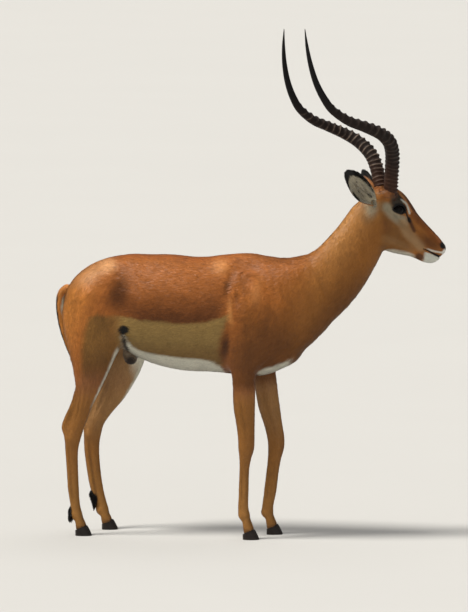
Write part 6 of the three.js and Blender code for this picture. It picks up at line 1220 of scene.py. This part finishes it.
def ear(tag):
    nt, na = 46, 34
    E = np.array(EAR_ROWS, float)
    tt = np.concatenate([np.linspace(0, 0.86, nt - 12), np.linspace(0.875, 1.0, 12)])
    Es = smooth_rows(EAR_ROWS, 8)
    outer, inner = [], []
    for t in tt:
        half = np.interp(t, Es[:, 0], Es[:, 2]); aa = np.linspace(-half, half, na)
        tr = np.full(na, t)
        wave = 0.5 * np.sin(aa / max(half, 1) * 9) * math.sin(math.pi * t)
        th = 2.6 * (0.62 + 0.38 * np.cos(np.radians(aa)))
        outer.append(ear_point(tag, tr, aa, 0.25 + 0 * aa)); inner.append(ear_point(tag, tr, aa, th + 0.5 * np.maximum(wave, 0)))
    O, I = np.array(outer), np.array(inner)
    nt = len(tt); VV = np.concatenate([O.reshape(-1, 3), I.reshape(-1, 3)]); k = nt * na
    F = []
    for i in range(nt - 1):
        for j in range(na - 1):
            a = i * na + j
            F.append([a, a + 1, a + na + 1, a + na]); F.append([k + a, k + a + na, k + a + na + 1, k + a + 1])
    for i in range(nt - 1):
        for j in (0, na - 1):
            a, b = i * na + j, (i + 1) * na + j
            F.append([a, b, b + k, a + k] if j == 0 else [a, a + k, b + k, b])
    for i in (0, nt - 1):
        for j in range(na - 1):
            a, b = i * na + j, i * na + j + 1
            F.append([a, a + k, b + k, b] if i == 0 else [a, b, b + k, a + k])
    me = bpy.data.meshes.new("ear"); me.from_pydata(world(from_head(VV)).tolist(), [], F); me.update()
    import bmesh
    bm = bmesh.new(); bm.from_mesh(me); bmesh.ops.recalc_face_normals(bm, faces=bm.faces); bm.to_mesh(me); bm.free()
    me.polygons.foreach_set("use_smooth", np.ones(len(me.polygons), bool))
    ob = bpy.data.objects.new("ear_piece_" + tag, me); bpy.context.collection.objects.link(ob)
    T = np.repeat(tt[:, None], na, 1).ravel(); Hf = np.interp(T, Es[:, 0], Es[:, 2]); A = np.concatenate([np.linspace(-1, 1, na)] * nt)
    sg = 1 if tag == "r" else -1                            # 1 where A > 0 is the upper edge
    back = srgb(164, 108, 62); inside = srgb(172, 162, 140)
    cO = np.repeat(back[None], k, 0); cI = np.repeat(inside[None], k, 0)
    dark = srgb(13, 10, 11); wob = 0.02 * np.sin(A * 23) + 0.015 * np.sin(A * 51 + 1)
    edge_t = line(A * sg, [(-1, 0.70), (-0.75, 0.77), (0, 0.83), (0.35, 0.78), (0.65, 0.66), (0.8, 0.54), (0.93, 0.42), (1, 0.36)])
    black = ss(T - edge_t - wob, -0.02, 0.03)
    blackO = ss(T - line(A * sg, [(-1, 0.62), (-0.7, 0.74), (0, 0.80), (0.6, 0.64), (0.8, 0.46), (1, 0.30)]) - wob, -0.03, 0.04)
    cO = lay(cO, srgb(150, 96, 52), (1 - ss(T, 0.0, 0.35)) * 0.5); cO = lay(cO, srgb(120, 108, 104), ss(T, 0.45, 0.7) * 0.6); cO = lay(cO, dark, blackO)
    for k_, t0, t1, wd_ in ((-0.42, 0.12, 0.62, 0.05), (-0.12, 0.10, 0.70, 0.045), (0.16, 0.12, 0.68, 0.05), (0.42, 0.16, 0.56, 0.05)):
        cI = lay(cI, srgb(74, 62, 52), bell(A * sg, k_ + 0.10 * np.sin(T * 5 + k_ * 9), wd_) * ss(T, t0, t0 + 0.1) * (1 - ss(T, t1 - 0.12, t1)) * 0.75)
    cI = lay(cI, srgb(206, 200, 184), ss(-A * sg, 0.45, 0.95) * 0.7)
    cI = lay(cI, srgb(192, 182, 156), (1 - ss(T, 0.12, 0.26)) * 0.85)
    cI = lay(cI, srgb(30, 23, 20), blob(T, A * sg, 0.14, 0.30, 0.075, 0.13, 0, 0.3) * 0.92)
    cI = lay(cI, dark, black)
    patch = blob(T, A * sg, 0.46, -0.90, 0.12, 0.30, 0, 0.3)
    cI = lay(cI, dark, patch); cO = lay(cO, dark, patch)
    cI = lay(cI, dark, blob(T, A * sg, 0.60, 0.22, 0.035, 0.07, 0, 0.4) * 0.8); cI = lay(cI, dark, blob(T, A * sg, 0.40, -0.12, 0.04, 0.08, 0, 0.4) * 0.85)
    set_color(ob, "coat", np.concatenate([cO, cI]))
    ob.data.materials.append(mat_skin)
    return ob
EAR_PATCH = {"r": -0.86, "l": 0.86}
def ear_hair(tag):
    """fine pale hairs inside the cup and along its rim, short coat on its back"""
    Es = smooth_rows(EAR_ROWS, 8); root, d, o, w, ln, bow, scale = ear_frame(tag)
    n = 1500; T = RNG.uniform(0.06, 0.82, n); edge = RNG.random(n) < 0.62
    A = np.where(edge, np.sign(RNG.random(n) - 0.5) * RNG.uniform(0.62, 0.97, n), RNG.uniform(-0.6, 0.6, n))
    half = np.interp(T, Es[:, 0], Es[:, 2]); a = A * half
    P = ear_point(tag, T, a, 2.6 * (0.62 + 0.38 * np.cos(np.radians(a))) - 0.4)
    c0 = ear_point(tag, T, 0 * a, 0 * a); toward = unit(c0 + o * (np.interp(T, Es[:, 0], Es[:, 1]) * scale)[:, None] - P)
    D0 = unit(toward * 0.45 + d * 0.9 + RNG.normal(0, 0.12, (n, 3))); D1 = unit(d * 1.0 + toward * 0.25 - o * 0.0 + RNG.normal(0, 0.12, (n, 3)))
    sg = 1 if tag == "r" else -1
    dark = (T > line(A * sg, [(-1, 0.70), (-0.75, 0.77), (0, 0.83), (0.35, 0.78), (0.65, 0.64), (0.8, 0.45), (0.93, 0.22), (1, 0.14)]) - 0.02) | (blob(T, A * sg, 0.46, -0.90, 0.12, 0.30, 0, 0.3) > 0.5)
    col = np.where(dark[:, None], srgb(20, 16, 15)[None], srgb(218, 212, 194)[None])
    length = (13 - 6 * np.abs(T - 0.4)) * scale * np.where(edge, 1.0, 0.7)
    h1 = from_head(P); h2 = dir_from_head(D0); h3 = dir_from_head(D1)
    ob = locks("ear_hair_" + tag, h1, h2, h3, length, 1.15, col * 0.9, col, None, segs=2, flat=0.4)
    # back of the ear
    n = 3800; T = RNG.uniform(0.0, 0.99, n); A = RNG.uniform(-1, 1, n); half = np.interp(T, Es[:, 0], Es[:, 2]); a = A * half
    P = ear_point(tag, T, a, 0.3 + 0 * a); c0 = ear_point(tag, T, 0 * a, np.interp(T, Es[:, 0], Es[:, 1]) * scale)
    out = unit(P - (c0))
    D0 = unit(d + out * 0.14 + RNG.normal(0, 0.08, (n, 3))); D1 = unit(d + out * 0.02 + RNG.normal(0, 0.06, (n, 3)))
    dark = ss(T - line(A * sg, [(-1, 0.62), (-0.7, 0.74), (0, 0.80), (0.6, 0.62), (0.8, 0.34), (1, 0.10)]), -0.03, 0.04)
    dark = np.maximum(dark, blob(T, A * sg, 0.46, -0.90, 0.12, 0.30, 0, 0.3))
    col = lay(np.repeat(srgb(168, 112, 66)[None], n, 0), srgb(124, 112, 106), ss(T, 0.45, 0.7) * 0.6); col = lay(col, srgb(16, 12, 12), dark)
    ob2 = locks("ear_back_" + tag, from_head(P), dir_from_head(D0), dir_from_head(D1), 6.0, 1.2, col * 0.92, col * 1.05, None, segs=2, flat=0.35)
    return ob, ob2
for tag in ("r", "l"):
    e = ear(tag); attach(e, "root"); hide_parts("ear_" + tag)
    for h in ear_hair(tag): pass
note("ears")

# ------------------------------------------------------------------ eyes
def eye_material():
    M = Nodes("eye_wet"); b = M.b
    at = M.add("ShaderNodeAttribute", attribute_name="coat"); tc = M.add("ShaderNodeTexCoord")
    n = M.add("ShaderNodeTexNoise", inp={"Scale": 700.0, "Detail": 3.0}); M.link(tc.outputs["Object"], n.inputs["Vector"])
    r = M.add("ShaderNodeMapRange", inp={"From Min": 0.3, "From Max": 0.7, "To Min": 0.8, "To Max": 1.2}); M.link(n.outputs["Fac"], r.inputs["Value"])
    vm = M.add("ShaderNodeVectorMath", operation="SCALE"); M.link(at.outputs["Color"], vm.inputs[0]); M.link(r.outputs[0], vm.inputs["Scale"])
    M.link(vm.outputs[0], b.inputs["Base Color"])
    b.inputs["Roughness"].default_value = 0.10; b.inputs["Coat Weight"].default_value = 0.05; b.inputs["Coat Roughness"].default_value = 0.03
    b.inputs["IOR"].default_value = 1.36; b.inputs["Specular IOR Level"].default_value = 0.11
    return M.m
mat_eye = eye_material()
def eye(side):
    nu, nv = 56, 36; o, e1, e2 = eye_axes(side); VV, col = [], []
    c = np.array([EYE_C[0], side * EYE_C[1], EYE_C[2]])
    for i in range(nv + 1):
        th = math.pi * i / nv
        for j in range(nu if 0 < i < nv else 1):
            ph = 2 * math.pi * j / nu
            a, b, f = math.sin(th) * math.cos(ph), math.sin(th) * math.sin(ph), math.cos(th)
            q = (e1 * a + e2 * b + o * f) * EYE_R * (1 + 0.035 * max(0.0, (f - 0.80) / 0.20) ** 1.0)
            VV.append(c + q * np.array(EYE_SQ))
            pup = (abs(a) / 0.36) ** 2 + (abs(b) / 0.20) ** 2
            iris = math.hypot(a, b)
            k = srgb(4, 3, 3) if pup < 1 else (srgb(13, 9, 7) if iris < 0.62 else srgb(10, 8, 7))
            col.append(k)
    F = []; idx = lambda i, j: 0 if i == 0 else (1 + (nv - 1) * nu if i == nv else 1 + (i - 1) * nu + j % nu)
    for i in range(nv):
        for j in range(nu):
            q = [idx(i, j), idx(i + 1, j), idx(i + 1, j + 1), idx(i, j + 1)]; q = [v for n_, v in enumerate(q) if v not in q[:n_]]
            F.append(q)
    me = bpy.data.meshes.new("eye"); me.from_pydata(world(from_head(np.array(VV))).tolist(), [], F); me.update()
    import bmesh
    bm = bmesh.new(); bm.from_mesh(me); bmesh.ops.recalc_face_normals(bm, faces=bm.faces); bm.to_mesh(me); bm.free()
    me.polygons.foreach_set("use_smooth", np.ones(len(me.polygons), bool))
    ob = bpy.data.objects.new("eyeball_" + ("l" if side > 0 else "r"), me); bpy.context.collection.objects.link(ob)
    set_color(ob, "coat", np.array(col)); me.materials.append(mat_eye)
    return ob
for side, tag in ((-1, "r"), (1, "l")):
    e = eye(side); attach(e, "root"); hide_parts("eye_" + tag)
    # lashes of the upper lid
    o, e1, e2 = eye_axes(side); n = 90; a = RNG.uniform(-13, 16, n)
    w = np.where(a > 0, 18.6, 16.8); b = 11.6 * (1 - (a / w) ** 2) + 0.6
    f = np.sqrt(np.maximum((EYE_R + LID) ** 2 - a * a - b * b, 9)) - 0.4
    c = np.array([EYE_C[0], side * EYE_C[1], EYE_C[2]])
    P = c + (a[:, None] * e1 + b[:, None] * e2 + f[:, None] * o) * np.array(EYE_SQ)
    D0 = unit(o * 0.9 + e2 * 0.35 + e1 * (a / 30)[:, None]); D1 = unit(o * 0.75 - e2 * 0.45 + e1 * (a / 26)[:, None])
    lk = locks("lashes_" + tag, from_head(P), dir_from_head(D0), dir_from_head(D1), 6.5, 0.75, srgb(22, 17, 16), srgb(22, 17, 16), None, segs=2)
note("eyes")

# ------------------------------------------------------------------ claws
def claw_material():
    M = Nodes("claw_keratin"); b = M.b
    tc = M.add("ShaderNodeTexCoord"); mp = M.add("ShaderNodeMapping"); mp.inputs["Scale"].default_value = (1, 1, 5.0)
    M.link(tc.outputs["Object"], mp.inputs["Vector"])
    n = M.add("ShaderNodeTexNoise", inp={"Scale": 110.0, "Detail": 5.0, "Roughness": 0.6}); M.link(mp.outputs[0], n.inputs["Vector"])
    cr = M.add("ShaderNodeValToRGB"); M.link(n.outputs["Fac"], cr.inputs["Fac"])
    cr.color_ramp.elements[0].position = 0.3; cr.color_ramp.elements[0].color = (*srgb(14, 11, 10), 1)
    cr.color_ramp.elements[1].position = 0.75; cr.color_ramp.elements[1].color = (*srgb(44, 34, 29), 1); b.inputs["Specular IOR Level"].default_value = 0.28
    M.link(cr.outputs[0], b.inputs["Base Color"])
    rr = M.add("ShaderNodeMapRange", inp={"From Min": 0.3, "From Max": 0.7, "To Min": 0.34, "To Max": 0.55}); M.link(n.outputs["Fac"], rr.inputs["Value"]); M.link(rr.outputs[0], b.inputs["Roughness"])
    bp = M.add("ShaderNodeBump", inp={"Strength": 0.4, "Distance": 0.0006}); M.link(n.outputs["Fac"], bp.inputs["Height"]); M.link(bp.outputs[0], b.inputs["Normal"])
    return M.m
mat_claw = claw_material()
OUTLINE = [[0.07, 0.03], [0.5, 0], [0.92, 0.03], [1.0, 0.2], [0.93, 0.5], [0.78, 0.76], [0.55, 0.95], [0.3, 1], [0.11, 0.82], [0.0, 0.42]]
def claw(foot, side, name):
    at, splay = FEET[foot]; P = np.array(OUTLINE, float); out = []
    for i in range(len(P)):
        p0, p1, p2, p3 = P[i - 1], P[i], P[(i + 1) % len(P)], P[(i + 2) % len(P)]
        for t in np.linspace(0, 1, 6)[:-1]:
            out.append(0.5 * (2 * p1 + (p2 - p0) * t + (2 * p0 - 5 * p1 + 4 * p2 - p3) * t * t + (3 * p1 - p0 - 3 * p2 + p3) * t ** 3))
    out = np.clip(np.array(out), 0, 1); m = len(out); VV = []; lv = [0, 0.025, 0.07] + list(np.linspace(0.14, 0.94, 13)) + [0.985, 1.0]
    cc, sn = math.cos(math.radians(splay)), math.sin(math.radians(splay))
    for s in lv:
        k = 1 - (1 - CLAW_TOP) * s - 0.045 * max(0, 1 - s / 0.07) ** 2 - (0.05 if s == 1.0 else 0)
        ring = 1 + 0.010 * math.sin(s * 40) * (0.1 < s < 0.95)
        x = out[:, 0] * CLAW_L * k * ring; y = CLAW_SPLIT + out[:, 1] * CLAW_W * (1 + 0.05 * s) * (1 - 0.04 * max(0, 1 - s / 0.07) ** 2) * ring ** 0.5
        z = s * (coronet(x) - 0.3)
        # the wall leans in a little towards the coronet on the outer side
        VV.append(np.stack([at[0] + x * cc - side * y * sn, at[1] + x * sn + side * y * cc, z], 1))
    n = len(VV); VV = np.concatenate(VV); k = np.arange(m); F = []
    for i in range(n - 1):
        for j in range(m): a, b = i * m + j, i * m + (j + 1) % m; F.append([a, b, b + m, a + m])
    F.append(list(range(m))); F.append([(n - 1) * m + j for j in range(m)])
    me = bpy.data.meshes.new(name); me.from_pydata(world(VV).tolist(), [], F); me.update()
    import bmesh
    bm = bmesh.new(); bm.from_mesh(me); bmesh.ops.recalc_face_normals(bm, faces=bm.faces); bmesh.ops.triangulate(bm, faces=[f for f in bm.faces if len(f.verts) > 4]); bm.to_mesh(me); bm.free()
    me.polygons.foreach_set("use_smooth", np.ones(len(me.polygons), bool))
    ob = bpy.data.objects.new(name, me); bpy.context.collection.objects.link(ob); me.materials.append(mat_claw)
    ob.modifiers.new("edge", "EDGE_SPLIT").split_angle = math.radians(50)
    return ob
for foot in FEET:
    leg, sd = foot.split("_")
    for which, side in (("out", -1 if sd == "r" else 1), ("in", 1 if sd == "r" else -1)):
        c = claw(foot, side, "claw_%s_%s_%s" % (leg, which, sd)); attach(c, "root"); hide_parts("%s_claw_%s_%s" % (leg, which, sd))
note("claws")

# ------------------------------------------------------------------ what stands for what
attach(SKIN, "root")
flesh = [n for n in frame["nodes"] if n.split("_")[0] in ("trunk", "neck", "head", "tail") or (n.split("_")[0] in ("fore", "hind") and "claw" not in n)]
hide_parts(*flesh)

# ------------------------------------------------------------------ room, light and camera
def plain(name, c, rough):
    M = Nodes(name); n = M.add("ShaderNodeTexNoise", inp={"Scale": 1.3, "Detail": 2.0}); tc = M.add("ShaderNodeTexCoord"); M.link(tc.outputs["Object"], n.inputs["Vector"])
    r = M.add("ShaderNodeMapRange", inp={"From Min": 0.3, "From Max": 0.7, "To Min": 0.995, "To Max": 1.005}); M.link(n.outputs["Fac"], r.inputs["Value"])
    vm = M.add("ShaderNodeVectorMath", operation="SCALE"); vm.inputs[0].default_value = c; M.link(r.outputs[0], vm.inputs["Scale"]); M.link(vm.outputs[0], M.b.inputs["Base Color"])
    M.b.inputs["Roughness"].default_value = rough; M.b.inputs["Specular IOR Level"].default_value = 0.2
    return M.m
bpy.ops.mesh.primitive_plane_add(size=160, location=(0, 0, 0)); floor = bpy.context.object; floor.name = "floor"
floor.data.materials.append(plain("floor_plain", (0.56, 0.555, 0.54), 0.85))
wd = bpy.data.worlds.new("studio"); bpy.context.scene.world = wd; wd.use_nodes = True
wd.node_tree.nodes["Background"].inputs[0].default_value = (1.0, 0.985, 0.96, 1); wd.node_tree.nodes["Background"].inputs[1].default_value = WORLD_LIGHT
def sun(name, to_light, power, angle, color):
    l = bpy.data.lights.new(name, "SUN"); l.energy = power; l.angle = math.radians(angle); l.color = color
    o = bpy.data.objects.new(name, l); o.location = Vector(to_light) * 5; o.rotation_euler = Vector(to_light).to_track_quat("Z", "Y").to_euler()
    bpy.context.collection.objects.link(o); return o
def area(name, loc, size, power, color, aim=(0, 0, 0.8)):
    l = bpy.data.lights.new(name, "AREA"); l.shape = "RECTANGLE"; l.size, l.size_y = size; l.energy = power; l.color = color
    o = bpy.data.objects.new(name, l); o.location = loc; o.rotation_euler = (Vector(aim) - Vector(loc)).to_track_quat("-Z", "Y").to_euler()
    bpy.context.collection.objects.link(o); return o
for L_ in LIGHTS: sun(*L_)
cam = bpy.data.cameras.new("camera"); co = bpy.data.objects.new("camera", cam); bpy.context.collection.objects.link(co)
target = Vector((-0.0269, -0.0629, 0.7317)); back = Vector((0.20677, -0.97278, 0.10453)).normalized(); DIST = 30.0
co.location = target + back * DIST; co.rotation_euler = (-back).to_track_quat("-Z", "Y").to_euler()
cam.sensor_width = 36.0; cam.lens = 36.0 * DIST / (612 * 0.00315); cam.clip_end = 400.0; cam.clip_start = 1.0
bpy.context.scene.camera = co
bpy.context.scene.view_settings.view_transform = "Standard"
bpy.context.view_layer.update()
note("triangles", sum(sum(len(p.vertices) - 2 for p in o.data.polygons) if len(o.data.polygons) < 60000 else len(o.data.polygons) * (len(o.data.polygons[0].vertices) - 2) for o in bpy.data.objects if o.type == "MESH" and o.visible_get()))
note("done")
